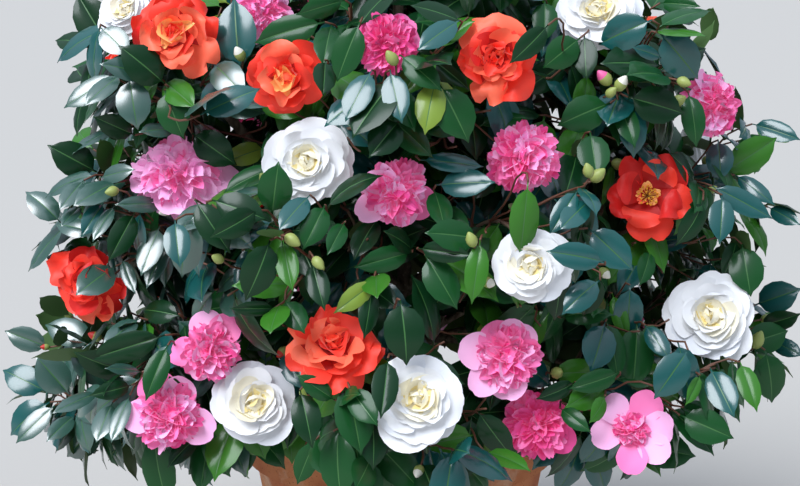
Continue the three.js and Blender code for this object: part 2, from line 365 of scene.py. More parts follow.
def read_pattern(piece):
    """A modelled piece as arrays to copy from: points, the corners of its faces and each face's part. Removes it."""
    mesh = piece.data
    corners = np.empty(len(mesh.loops), int)
    mesh.loops.foreach_get("vertex_index", corners)
    starts = np.empty(len(mesh.polygons), int)
    mesh.polygons.foreach_get("loop_start", starts)
    parts = np.empty(len(mesh.polygons), int)
    mesh.polygons.foreach_get("material_index", parts)
    pattern = {"points": read_points(piece), "corners": corners, "starts": starts, "parts": parts}
    bpy.data.objects.remove(piece)
    return pattern


def joined(name, groups, materials, creases=None):
    """One piece from groups of faces, each given as points, corners, starts and the material of each face. creases
    gives each point a number, and an edge between two points of the same one, other than 0, is sharp."""
    points, corners, starts, finishes = (list(part) for part in zip(*groups))
    point_count = corner_count = 0
    for i in range(len(groups)):
        corners[i] = corners[i] + point_count
        starts[i] = starts[i] + corner_count
        point_count += len(points[i])
        corner_count += len(corners[i])
    mesh = bpy.data.meshes.new(name)
    mesh.vertices.add(point_count)
    mesh.vertices.foreach_set("co", np.concatenate(points).ravel())
    mesh.loops.add(corner_count)
    mesh.loops.foreach_set("vertex_index", np.concatenate(corners).astype(np.int32))
    starts = np.concatenate(starts).astype(np.int32)
    mesh.polygons.add(len(starts))
    mesh.polygons.foreach_set("loop_start", starts)
    for material in materials:
        mesh.materials.append(material)
    mesh.polygons.foreach_set("material_index", np.concatenate(finishes).astype(np.int32))
    mesh.polygons.foreach_set("use_smooth", np.ones(len(starts), bool))
    mesh.update(calc_edges=True)
    if creases is not None:
        ends = np.empty(len(mesh.edges) * 2, int)
        mesh.edges.foreach_get("vertices", ends)
        ends = creases[ends.reshape(-1, 2)]
        sharp = (ends[:, 0] == ends[:, 1]) & (ends[:, 0] > 0)
        mesh.attributes.new("sharp_edge", "BOOLEAN", "EDGE").data.foreach_set("value", sharp)
    piece = bpy.data.objects.new(name, mesh)
    bpy.context.collection.objects.link(piece)
    return piece


def copies(pattern, places, finishes):
    """Copies of a pattern as a group for joined. places are 3 by 4 matrices, and finishes has a row for each copy
    with the material of each of the pattern's parts."""
    count = len(places)
    points = np.einsum("nij,vj->nvi", places[:, :, :3], pattern["points"]) + places[:, None, :, 3]
    corners = pattern["corners"][None] + len(pattern["points"]) * np.arange(count)[:, None]
    starts = pattern["starts"][None] + len(pattern["corners"]) * np.arange(count)[:, None]
    return points.reshape(-1, 3), corners.ravel(), starts.ravel(), finishes[:, pattern["parts"]].ravel()


bpy.ops.mesh.primitive_cube_add(size=1)
chip = bpy.context.object
with edited(chip):
    bpy.ops.mesh.subdivide(number_cuts=1)
    bpy.ops.transform.resize(value=CHIP_SHAPE)
write_points(chip, read_points(chip) * (1 + mulch_dice.uniform(*CHIP_WEAR, (len(chip.data.vertices), 1))))
chip_pattern = read_pattern(chip)
chip_places = np.zeros((CHIP_COUNT, 3, 4))
for chip_place in chip_places:
    out = inner_radius(COMPOST_TOP) * MULCH_REACH * math.sqrt(mulch_dice.uniform(0.02, 1))
    turn = mulch_dice.uniform(0, 2 * math.pi)
    spin = Matrix.Rotation(mulch_dice.uniform(0, 6.3), 3, "Z")
    tumble = spin @ Matrix.Rotation(mulch_dice.normal(0, CHIP_TILT), 3, "X")
    chip_place[:, :3] = np.array(tumble) * mulch_dice.uniform(*CHIP_LENGTHS)
    height = COMPOST_TOP - COMPOST_FALL * (out / inner_radius(COMPOST_TOP)) ** 2 + CHIP_LIFT
    chip_place[:, 3] = (out * math.cos(turn), out * math.sin(turn), height)

# Pine bark, weathered to dull browns, as two plain tints and a broken grain.
chip_materials = []
for name, dark, pale in (
    ("pine_bark_brown", "#33221A", "#6E4A34"),
    ("pine_bark_grey", "#3A2F28", "#85705C"),
):
    chip_material, shader = new_material(name, Roughness=0.9, Specular_IOR_Level=0.3)
    place = add_node(chip_material, "TexCoord", "Object")
    grain = add_node(chip_material, "TexNoise", "Fac", {"Vector": place, "Scale": 320.0, "Detail": 3.0})
    grain_stops = ((0.36, linear(dark)), (0.66, linear(pale)))
    grain_colour = add_node(chip_material, "ValToRGB", "Color", {"Fac": grain}, grain_stops)
    wire(chip_material, shader, {"Base Color": grain_colour})
    chip_materials.append(chip_material)
chip_finishes = mulch_dice.integers(0, len(chip_materials), (CHIP_COUNT, 1))
mulch = joined("bark_mulch", [copies(chip_pattern, chip_places, chip_finishes)], chip_materials)
only(mulch)
bpy.ops.object.shade_smooth_by_angle(angle=CHIP_SMOOTH_UP_TO)
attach(mulch, "root")


# The trunk, stems and boughs: living wood under thin bark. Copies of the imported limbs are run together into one
# skin, so that each fork closes over, rounded, and roughened with the bark's upright folds.
BARK_VOXEL = 0.0024
BARK_SMOOTHINGS = 8
BARK_FOLD = 0.0007
BARK_FOLD_SIZES = (0.011, 0.005)
BARK_FOLD_STRETCH = 5
BARK_SEED = 5
LIMB_SWELL = 0.0004
TRUNK_FOOT_DEPTH = 0.05

limb_names = [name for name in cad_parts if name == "trunk" or name.startswith(("stem_", "bough_"))]
bpy.ops.object.select_all(action="DESELECT")
for name in limb_names:
    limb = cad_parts[name].copy()
    limb.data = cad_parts[name].data.copy()
    limb.parent = None
    limb.data.materials.clear()
    for key in list(limb.keys()):
        del limb[key]
    bpy.context.collection.objects.link(limb)
    limb.select_set(True)
    bpy.context.view_layer.objects.active = limb
bpy.ops.object.join()
bark = bpy.context.object
bark.name = "bark"
with edited(bark):
    bpy.ops.mesh.remove_doubles(threshold=WELD)
    bpy.ops.transform.shrink_fatten(value=LIMB_SWELL)
apply_modifier(bark, "REMESH", mode="VOXEL", voxel_size=BARK_VOXEL)
apply_modifier(bark, "SMOOTH", factor=0.5, iterations=BARK_SMOOTHINGS)
bark_points = read_points(bark)
bark_normals = np.empty(len(bark_points) * 3)
bark.data.vertices.foreach_get("normal", bark_normals)
drawn_out = bark_points * (1, 1, 1 / BARK_FOLD_STRETCH)
folding = BARK_FOLD * ripple(drawn_out, BARK_FOLD_SIZES, BARK_SEED)
bark_points += bark_normals.reshape(-1, 3) * (LIMB_SWELL + folding[:, None])
bark_points[:, 2] = np.maximum(bark_points[:, 2], COMPOST_TOP - TRUNK_FOOT_DEPTH)
write_points(bark, bark_points)
only(bark)
bpy.ops.object.shade_smooth()

# Camellia bark: thin, smooth grey-brown, drawn into fine upright folds about 6 mm apart, with paler flecks.
camellia_bark, shader = new_material("camellia_bark", Roughness=0.82, Specular_IOR_Level=0.3)
place = add_node(camellia_bark, "TexCoord", "Object")
drawn = add_node(camellia_bark, "Mapping", "Vector", {"Vector": place, "Scale": (1, 1, 0.2)})
folds = add_node(camellia_bark, "TexNoise", "Fac", {"Vector": drawn, "Scale": 160.0, "Detail": 5.0})
fold_stops = ((0.30, linear("#5A4A3C")), (0.72, linear("#A39482")))
fold_colour = add_node(camellia_bark, "ValToRGB", "Color", {"Fac": folds}, fold_stops)
flecks = add_node(camellia_bark, "TexVoronoi", "Distance", {"Vector": place, "Scale": 150.0})
flecked = marked(camellia_bark, fold_colour, flecks, (0.30, 0.12), 0.5, "#B8AC98")
folded = add_node(camellia_bark, "Bump", "Normal", {"Height": folds, "Strength": 0.7, "Distance": 0.0012})
wire(camellia_bark, shader, {"Base Color": flecked, "Normal": folded})
bark.data.materials.append(camellia_bark)
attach(bark, "root")
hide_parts(*limb_names)


# Blooms that the photograph shows: kind, middle and width in pixels, how far the face turns to the picture's
# right and upwards from the camera, in degrees, whether its heart is gold, open, small, full or wide, and where its
# outermost petals point, in degrees from the picture's right, each with its share of the usual length.
PHOTO_BLOOMS = (
    ("white", 124, 8, 64, -25, 20, "full", ()),
    ("coral_red", 175, 34, 92, -8, 12, "gold", ((35, 1), (95, 0.8), (150, 0.95), (205, 1), (260, 0.85), (318, 1.1))),
    ("pink", 262, 8, 62, 0, 25, "wide", ()),
    ("coral_red", 285, 76, 86, 0, -5, "gold", ((340, 1), (35, 0.9), (95, 0.8), (150, 0.95), (205, 1), (270, 0.95))),
    ("deep_pink", 388, 42, 74, 10, 10, "wide", ((45, 1.1), (15, 0.95), (200, 0.8), (270, 0.7))),
    (
        "coral_red", 497, 58, 92, 0, 8, "full",
        ((128, 1.1), (80, 1.05), (255, 1.05), (305, 1), (180, 0.85), (15, 0.85)),
    ),
    ("white", 598, 8, 88, 5, 20, "full", ()),
    ("pink", 719, 105, 76, 55, 5, "wide", ((120, 0.95), (170, 0.8), (300, 0.9))),
    ("pale_pink", 178, 170, 104, -5, 42, "wide", ((188, 1), (268, 0.95), (330, 0.95), (0, 1.1), (225, 0.8))),
    ("white", 307, 161, 93, -6, 4, "full", ()),
    ("pink", 396, 190, 82, 8, 4, "wide", ((215, 1.1), (290, 0.95), (335, 1.1), (250, 0.8))),
    ("pink", 522, 154, 86, -5, 18, "wide", ((250, 0.85), (290, 0.8), (200, 0.8), (330, 0.8))),
    ("red", 648, 195, 87, 5, 5, "open", ((106, 1.05), (46, 1), (348, 1.05), (275, 1), (192, 1))),
    ("white", 531, 264, 86, -12, -6, "full", ((200, 1), (255, 1), (310, 1), (15, 0.95), (75, 0.9), (140, 1))),
    ("red", 88, 282, 84, -22, 4, "full", ((150, 1.05), (100, 0.85), (215, 0.8), (285, 1.1), (330, 0.9))),
    ("pink", 209, 350, 84, -18, 12, "full", ((180, 1.1), (105, 1), (62, 1.05), (225, 0.8))),
    (
        "coral_red", 333, 347, 106, 0, 34, "full",
        ((165, 1), (112, 0.9), (72, 0.85), (5, 1.05), (285, 0.95), (222, 1), (340, 0.95)),
    ),
    ("white", 255, 402, 87, 0, 6, "full", ()),
    ("white", 419, 398, 97, 5, 10, "full", ((215, 1.1), (245, 1.05), (0, 0.95), (60, 1), (120, 1), (300, 1))),
    ("pink", 508, 356, 94, 0, 4, "full", ((170, 1.1), (225, 1.1), (268, 1), (120, 0.85), (92, 0.85), (65, 0.85))),
    ("white", 711, 316, 92, 4, 6, "full", ()),
    ("pink", 168, 415, 92, 0, 10, "full", ((180, 1), (110, 1), (65, 0.95), (340, 1.05))),
    ("deep_pink", 537, 422, 80, 0, 16, "wide", ((330, 1.05), (40, 0.8), (140, 0.9), (200, 0.8))),
    ("pink", 632, 427, 86, 0, 18, "small", ((130, 1), (60, 1), (5, 1), (190, 0.95), (270, 1), (320, 1))),
)

# Hollows between the sprays, dark in the photograph: the middle and the radius in pixels.
PHOTO_HOLLOWS = (
    (215, 262, 22), (348, 278, 16), (402, 282, 22), (410, 328, 20), (473, 216, 15), (248, 122, 13), (357, 148, 12),
    (548, 98, 14), (604, 150, 13), (652, 296, 16), (482, 308, 13), (580, 352, 16), (258, 334, 12), (335, 415, 14),
    (480, 412, 14), (700, 148, 15), (302, 316, 10), (455, 188, 10),
)

# Leaves that the photograph shows clearly: the foot and the tip in pixels, the width in pixels, the tint, and how
# far, from 0 to 1, the blade is turned to where the sky shines on it.
PHOTO_LEAVES = (
    (325, 22, 254, 38, 32, "green", 0.5), (345, 0, 305, 12, 22, "green", 0), (360, 22, 336, 78, 32, "green", 0.8),
    (325, 60, 325, 90, 25, "deep", 0), (372, 70, 345, 115, 30, "blue", 1), (390, 70, 400, 118, 28, "blue", 1),
    (400, 120, 372, 152, 34, "deep", 0.5), (400, 55, 437, 82, 28, "green", 0.5), (460, 20, 420, 45, 26, "blue", 1),
    (440, 85, 468, 137, 46, "green", 0), (420, 160, 482, 163, 22, "blue", 1), (436, 185, 490, 180, 30, "blue", 0.8),
    (272, 215, 277, 171, 42, "green", 0.3), (310, 195, 280, 225, 26, "blue", 1),
    (100, 27, 126, 51, 28, "silver", 0.8), (155, 76, 105, 62, 24, "silver", 0.8),
    (165, 84, 128, 50, 40, "deep", 0.5), (118, 75, 63, 103, 26, "silver", 1), (122, 74, 85, 100, 22, "silver", 1),
    (130, 77, 134, 121, 36, "silver", 0.7), (165, 90, 178, 130, 38, "green", 0.5),
    (175, 130, 143, 128, 20, "silver", 1), (200, 115, 257, 86, 32, "blue", 1), (192, 133, 228, 160, 34, "deep", 0),
    (265, 148, 232, 157, 24, "young", 0.3), (97, 172, 56, 150, 34, "deep", 0.2),
    (100, 178, 130, 168, 20, "silver", 1), (84, 180, 60, 205, 20, "silver", 1), (118, 182, 75, 200, 28, "silver", 1),
    (168, 205, 120, 202, 18, "silver", 0.8), (212, 200, 258, 215, 34, "deep", 0),
    (135, 135, 100, 120, 24, "deep", 0), (545, 0, 545, 35, 26, "green", 0.3), (580, 38, 550, 62, 38, "green", 0.3),
    (548, 25, 520, 58, 24, "deep", 0), (652, 20, 598, 42, 36, "blue", 0.6), (610, 103, 565, 120, 36, "green", 0.3),
    (618, 100, 635, 142, 24, "green", 0.3), (630, 100, 637, 150, 30, "blue", 0.3),
    (628, 97, 683, 112, 40, "deep", 0), (590, 132, 597, 172, 34, "green", 0.3),
    (528, 182, 521, 256, 30, "fresh", 0.3), (578, 190, 552, 228, 22, "blue", 0.6),
    (590, 200, 562, 225, 26, "blue", 0.8), (660, 33, 700, 78, 40, "blue", 0.6), (662, 58, 637, 47, 14, "blue", 1),
    (688, 92, 700, 137, 24, "green", 0.3), (752, 124, 797, 136, 22, "blue", 0.6),
    (767, 138, 738, 150, 20, "green", 0.5), (718, 140, 722, 172, 28, "blue", 0.4),
    (735, 175, 770, 198, 18, "blue", 0.6), (712, 186, 772, 216, 24, "blue", 0.8),
    (722, 195, 722, 237, 26, "blue", 0.4), (768, 207, 797, 222, 18, "blue", 0.8), (660, 3, 695, 4, 20, "green", 0.5),
    (104, 203, 84, 230, 20, "blue", 0.3), (115, 205, 92, 236, 16, "silver", 1), (82, 205, 62, 222, 14, "silver", 1),
    (135, 212, 112, 255, 26, "deep", 0.2), (160, 226, 140, 270, 26, "silver", 1),
    (168, 240, 145, 283, 22, "silver", 1), (175, 220, 178, 260, 27, "blue", 0.4),
    (195, 200, 226, 246, 30, "deep", 0), (116, 266, 78, 290, 34, "silver", 1), (122, 258, 133, 290, 14, "silver", 1),
    (140, 318, 104, 342, 22, "silver", 0.8), (165, 335, 90, 360, 30, "deep", 0.2),
    (142, 372, 110, 366, 12, "silver", 1), (168, 345, 145, 395, 24, "green", 0.6),
    (47, 392, 2, 368, 30, "blue", 0.6), (70, 395, 38, 358, 38, "silver", 1), (50, 402, 5, 430, 34, "blue", 0.6),
    (55, 405, 15, 440, 22, "silver", 1), (100, 392, 55, 408, 14, "silver", 1), (132, 385, 100, 395, 18, "deep", 0),
    (113, 402, 95, 437, 24, "silver", 1), (130, 395, 110, 437, 18, "silver", 0.8),
    (75, 415, 48, 437, 20, "silver", 1), (270, 240, 252, 297, 36, "deep", 0.2), (258, 210, 222, 235, 28, "deep", 0),
    (325, 205, 308, 240, 28, "green", 0.2), (283, 240, 290, 285, 24, "fresh", 0.6),
    (312, 262, 322, 303, 24, "deep", 0.3), (345, 222, 330, 250, 20, "green", 0.3),
    (412, 252, 362, 266, 26, "green", 0.1), (418, 248, 466, 256, 22, "deep", 0.1),
    (425, 255, 455, 302, 34, "green", 0.2), (480, 240, 475, 295, 24, "fresh", 0.4),
    (375, 282, 340, 308, 22, "young", 0.4), (372, 285, 368, 330, 22, "deep", 0), (400, 300, 410, 357, 42, "deep", 0),
    (440, 300, 462, 335, 28, "fresh", 0.3), (275, 308, 238, 310, 16, "deep", 0),
    (285, 300, 300, 325, 26, "green", 0), (335, 400, 305, 380, 20, "green", 0.5),
    (388, 358, 383, 412, 28, "deep", 0.2), (350, 388, 372, 420, 28, "green", 0.1),
    (300, 390, 312, 437, 30, "deep", 0), (605, 262, 555, 250, 28, "blue", 0.6),
    (588, 228, 632, 268, 34, "blue", 0.6), (600, 280, 566, 305, 28, "blue", 0.7),
    (612, 293, 626, 335, 16, "fresh", 0.7), (630, 285, 628, 340, 30, "blue", 0.4),
    (605, 322, 595, 366, 36, "blue", 0.3), (645, 325, 665, 352, 20, "blue", 0.6),
    (688, 350, 660, 393, 34, "blue", 0.5), (620, 372, 580, 390, 22, "green", 0), (575, 382, 548, 400, 18, "deep", 0),
    (605, 396, 598, 418, 18, "fresh", 0), (560, 408, 583, 425, 18, "green", 0.4),
    (703, 200, 690, 242, 24, "deep", 0), (742, 244, 750, 288, 36, "green", 0.7),
    (755, 305, 797, 290, 32, "blue", 0.5), (760, 325, 797, 318, 22, "deep", 0),
    (770, 340, 797, 352, 18, "blue", 0.4), (765, 350, 778, 402, 40, "green", 0.2),
    (740, 362, 757, 404, 22, "fresh", 0.2), (710, 368, 732, 412, 30, "blue", 0.7),
    (700, 375, 690, 402, 14, "fresh", 0), (680, 415, 730, 437, 34, "green", 0), (650, 250, 645, 280, 20, "green", 0),
)

# Buds that it shows: where each sits and where it points to in pixels, and the colour of its tip.
PHOTO_BUDS = (
    (610, 84, 597, 70, "pink"), (617, 90, 627, 75, "white"), (607, 96, 617, 87, "green"), (396, 64, 386, 50, "green"),
    (118, 190, 104, 193, "green"), (172, 208, 158, 214, "white"), (243, 60, 235, 46, "white"),
    (590, 177, 586, 162, "green"), (678, 80, 692, 85, "green"), (286, 236, 301, 246, "green"),
    (474, 246, 468, 231, "green"), (314, 258, 324, 270, "green"), (754, 348, 762, 330, "green"),
)

# Where shoots end. Lines towards the crown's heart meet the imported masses, and a shoot ends a little way inside
# each point met, so that the tips of its leaves reach the outline. Shoots keep about 50 mm from each other.
HEART = Vector((0.0, 0.0, 0.62))
CROWN_REACH = 2.0
OUTER_SPACING = 0.047
OUTER_DEPTHS = (0.030, 0.052)
INNER_SPACING = 0.062
INNER_DEPTHS = (0.095, 0.125)
LINES_TRIED = 26000
BARE_CORE = 0.17
OUTWARD_BY_SKIN = 0.55
HEADING_LIFT = 0.22
HEADING_SPREAD = 0.20
LEAN_TO_SKIN = 0.3
BLOOM_DEPTH = 0.030
HOLLOW_STEP_PX = 26
BLOOM_OUTLOOK = 0.15
FACE_CLEARANCE = 0.25
LEAF_CLEARANCE = 0.008
LEAF_KEPT_CLEAR = 0.36
SEEN_LEAF_LENGTH = 0.066
MOST_TOWARDS = 0.032
USUAL_WIDTH = 0.54
SHOWN_WIDTHS = (0.6, 1.25)
FLAT_FROM_SHINE = 0.7
# Where the sky is brightest, and which way a blade that doesn't shine is turned.
BRIGHT_SKY = Vector((-0.45, -0.55, 0.85)).normalized()
DULL_FACING = Vector((0.18, -0.97, 0.10))
SEEDED_BLOOM_SPACING = 0.138
SEEDED_BLOOM_SIZES = (0.080, 0.098)
SEEDED_KINDS = ("white", "red", "coral_red", "pink", "deep_pink", "pale_pink")
SEEDED_SHARES = (0.28, 0.14, 0.12, 0.28, 0.10, 0.08)
SEEDED_HEARTS = ("gold", "open", "full", "wide")
HEART_SHARES = (0.2, 0.2, 0.3, 0.3)
SEEDED_BLOOM_LIFT = 0.012
LOWEST_HANGING_BLOOM = 0.40
# The part of the crown that the photograph shows, in pixels with a margin, down to where its frame cuts the crown,
# and how far back its blooms are still seen.
SHOWN_ACROSS = (-40, PHOTO_WIDTH + 40)
SHOWN_DOWN = (-60, 455)
SHOWN_BACK_TO = 0.15
growth_dice = np.random.default_rng(404)

mass_names = sorted(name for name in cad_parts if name.startswith("foliage_"))
skin_points, skin_faces, skin_owner = [], [], []
for number, name in enumerate(mass_names):
    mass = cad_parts[name].data
    first = len(skin_points)
    skin_points.extend(vertex.co.copy() for vertex in mass.vertices)
    skin_faces.extend([first + i for i in polygon.vertices] for polygon in mass.polygons)
    skin_owner.extend([number] * len(mass.polygons))
skin = BVHTree.FromPolygons(skin_points, skin_faces)


def far_enough(place, others, spacing):
    """Whether a place is at least a spacing away from all the others, which are the rows of an array."""
    return len(others) == 0 or np.min(np.sum((others - np.array(place)) ** 2, axis=1)) > spacing**2


def covers(place, bloom):
    """Whether a shoot's end would stand in a bloom, or before its face."""
    apart = place - bloom["place"]
    ahead = apart.dot(bloom["axis"])
    beside = (apart - bloom["axis"] * ahead).length
    return beside < bloom["radius"] * 0.95 and -0.02 < ahead < BLOOM_OUTLOOK


def uneven(spread):
    """A small random vector."""
    return Vector(growth_dice.normal(0, spread, 3))


def skin_behind(x, y):
    """How far from the camera the masses' skin stands behind a pixel, its outward way there, and which mass it is.
    For a pixel just beside the crown it is the nearest skin."""
    line = sight_line(x, y)
    place, normal, face, distance = skin.ray_cast(CAMERA_PLACE, line)
    if place is None:
        place, normal, face, _ = skin.find_nearest(CAMERA_PLACE + line * (HEART - CAMERA_PLACE).dot(line))
        distance = (place - CAMERA_PLACE).dot(line)
    return distance, normal, skin_owner[face]


shoots = []
blooms = []


def add_shoot(place, direction, mass_number, outer=False, bloom=None, **carried):
    """Adds a shoot's end, with the bloom on it, or the leaf or bud that the photograph shows there."""
    shoot = {"place": place, "direction": direction, "mass": mass_number, "outer": outer, "bloom": bloom}
    shoots.append(shoot | carried)


for kind, x, y, width, turn_right, turn_up, heart_form, guards in PHOTO_BLOOMS:
    line = sight_line(x, y)
    steps = (-HOLLOW_STEP_PX, 0, HOLLOW_STEP_PX)
    met = [skin_behind(x + step_x, y + step_y) for step_x in steps for step_y in steps]
    distance, normal, mass_number = sorted(met, key=lambda hit: hit[0])[len(met) // 3]
    right, up = math.radians(turn_right), math.radians(turn_up)
    axis = -line * math.cos(right) * math.cos(up) + VIEW_RIGHT * math.sin(right) + VIEW_UP * math.sin(up)
    axis.normalize()
    place = CAMERA_PLACE + line * (distance + BLOOM_DEPTH * 0.5) - axis * BLOOM_DEPTH * 0.5
    bloom = {"kind": kind, "heart": heart_form, "guards": guards, "photo": True, "place": place, "axis": axis}
    bloom |= {"radius": width / 2 * distance / FOCAL_LENGTH_PX, "x": x, "y": y, "distance": distance}
    blooms.append(bloom)
    add_shoot(place, axis.lerp(normal, LEAN_TO_SKIN).normalized(), mass_number, True, bloom)


def before_blooms(x, y, distance):
    """The distance at which a thing seen at a pixel stands clear before any bloom there."""
    for bloom in blooms:
        if math.hypot(x - bloom["x"], y - bloom["y"]) < 0.9 * bloom["radius"] * FOCAL_LENGTH_PX / bloom["distance"]:
            distance = min(distance, bloom["distance"] - FACE_CLEARANCE * bloom["radius"])
    return distance


for foot_x, foot_y, tip_x, tip_y, width, tint, shine in PHOTO_LEAVES:
    middle_x, middle_y = (foot_x + tip_x) / 2, (foot_y + tip_y) / 2
    distance, normal, mass_number = skin_behind(middle_x, middle_y)
    distance = min(before_blooms(middle_x, middle_y, distance), before_blooms(tip_x, tip_y, distance))
    seen_length = math.hypot(tip_x - foot_x, tip_y - foot_y) * distance / FOCAL_LENGTH_PX
    towards = math.sqrt(max(0, SEEN_LEAF_LENGTH**2 - seen_length**2))
    foot = CAMERA_PLACE + sight_line(foot_x, foot_y) * (distance + min(towards, MOST_TOWARDS) / 2)
    tip = CAMERA_PLACE + sight_line(tip_x, tip_y) * (distance - min(towards, MOST_TOWARDS) / 2)
    length = (tip - foot).length
    shining = (BRIGHT_SKY + (CAMERA_PLACE - foot).normalized()).normalized()
    turned = shining.lerp(DULL_FACING, 1 - shine) + Vector(growth_dice.normal(0, 0.06, 3))
    leaf = {"place": foot, "along": (tip - foot) / length, "up": turned, "length": length, "tint": tint}
    leaf["flat"] = shine > FLAT_FROM_SHINE
    narrowest, widest = SHOWN_WIDTHS
    leaf["width"] = min(widest, max(narrowest, width * distance / FOCAL_LENGTH_PX / (USUAL_WIDTH * length)))
    add_shoot(foot, (leaf["along"] + normal * LEAN_TO_SKIN).normalized(), mass_number, leaf=leaf)

for foot_x, foot_y, tip_x, tip_y, tip_colour in PHOTO_BUDS:
    distance, normal, mass_number = skin_behind(foot_x, foot_y)
    distance = before_blooms(tip_x, tip_y, distance)
    foot = CAMERA_PLACE + sight_line(foot_x, foot_y) * distance
    tip = CAMERA_PLACE + sight_line(tip_x, tip_y) * (distance - LEAF_CLEARANCE)
    add_shoot(foot, (tip - foot).normalized(), mass_number, bud=(tip_colour, (tip - foot).length))

# The leaves that the photograph shows, as seen: the middle of each and how far round it is kept clear.
shown = [shoot for shoot in shoots if "leaf" in shoot]
shown_lengths = np.array([shoot["leaf"]["length"] for shoot in shown])
shown_ways = np.array([shoot["leaf"]["along"] for shoot in shown]) * shown_lengths[:, None]
shown_x, shown_y, shown_ahead = in_picture(np.array([shoot["place"] for shoot in shown]) + shown_ways / 2)
shown_reach = LEAF_KEPT_CLEAR * shown_lengths * FOCAL_LENGTH_PX / shown_ahead


def veils(place):
    """Whether a shoot that ends at a place would stand before a leaf that the photograph shows."""
    x, y, ahead = (value[0] for value in in_picture([place]))
    beside = np.hypot(shown_x - x, shown_y - y)
    return bool(((beside < shown_reach) & (ahead < shown_ahead + LEAF_CLEARANCE)).any())


for spacing, depths, outer in ((OUTER_SPACING, OUTER_DEPTHS, True), (INNER_SPACING, INNER_DEPTHS, False)):
    taken = np.array([shoot["place"] for shoot in shoots if not shoot.keys() & {"leaf", "bud"}])
    for _ in range(LINES_TRIED):
        direction = Vector(growth_dice.normal(0, 1, 3)).normalized()
        surface, normal, face, _ = skin.ray_cast(HEART + direction * CROWN_REACH, -direction)
        if surface is None or (math.hypot(surface.x, surface.y) < BARE_CORE and surface.z < HEART.z):
            continue
        place = surface.lerp(HEART, growth_dice.uniform(*depths) / (surface - HEART).length)
        if not far_enough(place, taken, spacing):
            continue
        if any(covers(place, bloom) for bloom in blooms) or veils(place):
            continue
        outward = (normal * OUTWARD_BY_SKIN + direction * (1 - OUTWARD_BY_SKIN)).normalized()
        heading = (outward + Vector((0, 0, HEADING_LIFT)) + uneven(HEADING_SPREAD)).normalized()
        taken = np.vstack([taken, place])
        add_shoot(place, heading, skin_owner[face], outer)

# Other blooms open at the ends of outer shoots, all round, as thickly as in the photograph but not within it.
bloom_places = np.array([bloom["place"] for bloom in blooms])
for shoot in shoots:
    x, y, _ = (value[0] for value in in_picture([shoot["place"]]))
    seen = SHOWN_ACROSS[0] < x < SHOWN_ACROSS[1] and SHOWN_DOWN[0] < y < SHOWN_DOWN[1]
    if shoot["bloom"] or not shoot["outer"] or (seen and shoot["place"].y < SHOWN_BACK_TO):
        continue
    if not far_enough(shoot["place"], bloom_places, SEEDED_BLOOM_SPACING):
        continue
    if shoot["place"].z < LOWEST_HANGING_BLOOM and shoot["direction"].z < 0:
        continue
    kind = growth_dice.choice(SEEDED_KINDS, p=SEEDED_SHARES)
    outward = (shoot["place"] - HEART).normalized()
    axis = (outward + shoot["direction"] * 0.4 + uneven(0.15)).normalized()
    heart_form = growth_dice.choice(SEEDED_HEARTS, p=HEART_SHARES)
    radius = growth_dice.uniform(*SEEDED_BLOOM_SIZES) / 2
    place = shoot["place"] + axis * SEEDED_BLOOM_LIFT
    bloom = {"kind": kind, "heart": heart_form, "guards": (), "photo": False, "place": place, "axis": axis}
    bloom["radius"] = radius
    shoot |= {"place": place, "direction": axis, "bloom": bloom}
    blooms.append(bloom)
    bloom_places = np.vstack([bloom_places, bloom["place"]])


# Twigs: two or three seasons' wood, grey-brown where it is old and red-brown where it is young. From the end of
# each limb they branch out to the shoots of its mass. A new shoot leaves the nearest older twig, in a curve.
STEM_OF_MASS = {
    "foliage_top_front": "stem_1",
    "foliage_upper_front_right": "stem_2",
    "foliage_top_back_right": "stem_3",
    "foliage_top_back_left": "stem_4",
    "foliage_upper_front_left": "stem_5",
}
SHOOT_RADIUS = 0.00125
LIMB_END_RADIUS = 0.0036
LIMB_END_REACH = 0.010
LIMB_END_PIECE = (0.02, 0.16)
THICKENING = 3.0
LEAFY_LENGTH = 0.0496
SHORTEST_TWIG = 0.03
TWIG_STEP = 0.022
TWIG_SIDES = 5
TWIG_SLACK = 1.12
TWIG_PULL = 0.9
TWIG_WANDER = 0.0012
BEND_BIAS = 0.35
ROOT_BIAS = 0.35
BLOOM_NEAR = 0.20
BLOOM_DETOUR = 0.30
BLOOM_BODY = 0.8
BLOOM_FACE = 0.85
OLD_WOOD_RADIUS = 0.0019


def limb_end(mass_number):
    """The end of the limb inside a mass, and the limb's direction there."""
    mass_name = mass_names[mass_number]
    low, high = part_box(mass_name)
    middle = (low + high) / 2
    limb_name = STEM_OF_MASS.get(mass_name, mass_name.replace("foliage_", "bough_"))
    places = [vertex.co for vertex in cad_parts[limb_name].data.vertices]
    nearest = min(places, key=lambda place: (place - middle).length)
    ring = [place for place in places if (place - nearest).length < LIMB_END_REACH]
    end = sum(ring, Vector()) / len(ring)
    least, most = LIMB_END_PIECE
    behind = [place for place in places if least < (place - nearest).length < most]
    back = sum(behind, Vector()) / len(behind) if behind else end - (middle - end)
    return end, (end - back).normalized()


def crosses(start, end, bloom):
    """Whether a straight twig from start to end would pass through a bloom, or before one that the photograph
    shows."""
    middle = bloom["place"] + bloom["axis"] * bloom["radius"] * 0.5
    way = end - start
    share = min(1, max(0, (middle - start).dot(way) / way.length_squared))
    if (start + way * share - middle).length < bloom["radius"] * BLOOM_BODY:
        return True
    if not bloom["photo"]:
        return False
    sight = (middle - CAMERA_PLACE).normalized()
    seen_way = way - sight * way.dot(sight)
    share = min(1, max(0, (middle - start).dot(seen_way) / max(seen_way.length_squared, 1e-9)))
    nearest = start + way * share - middle
    depth = nearest.dot(sight)
    return depth < 0 and (nearest - sight * depth).length < bloom["radius"] * BLOOM_FACE


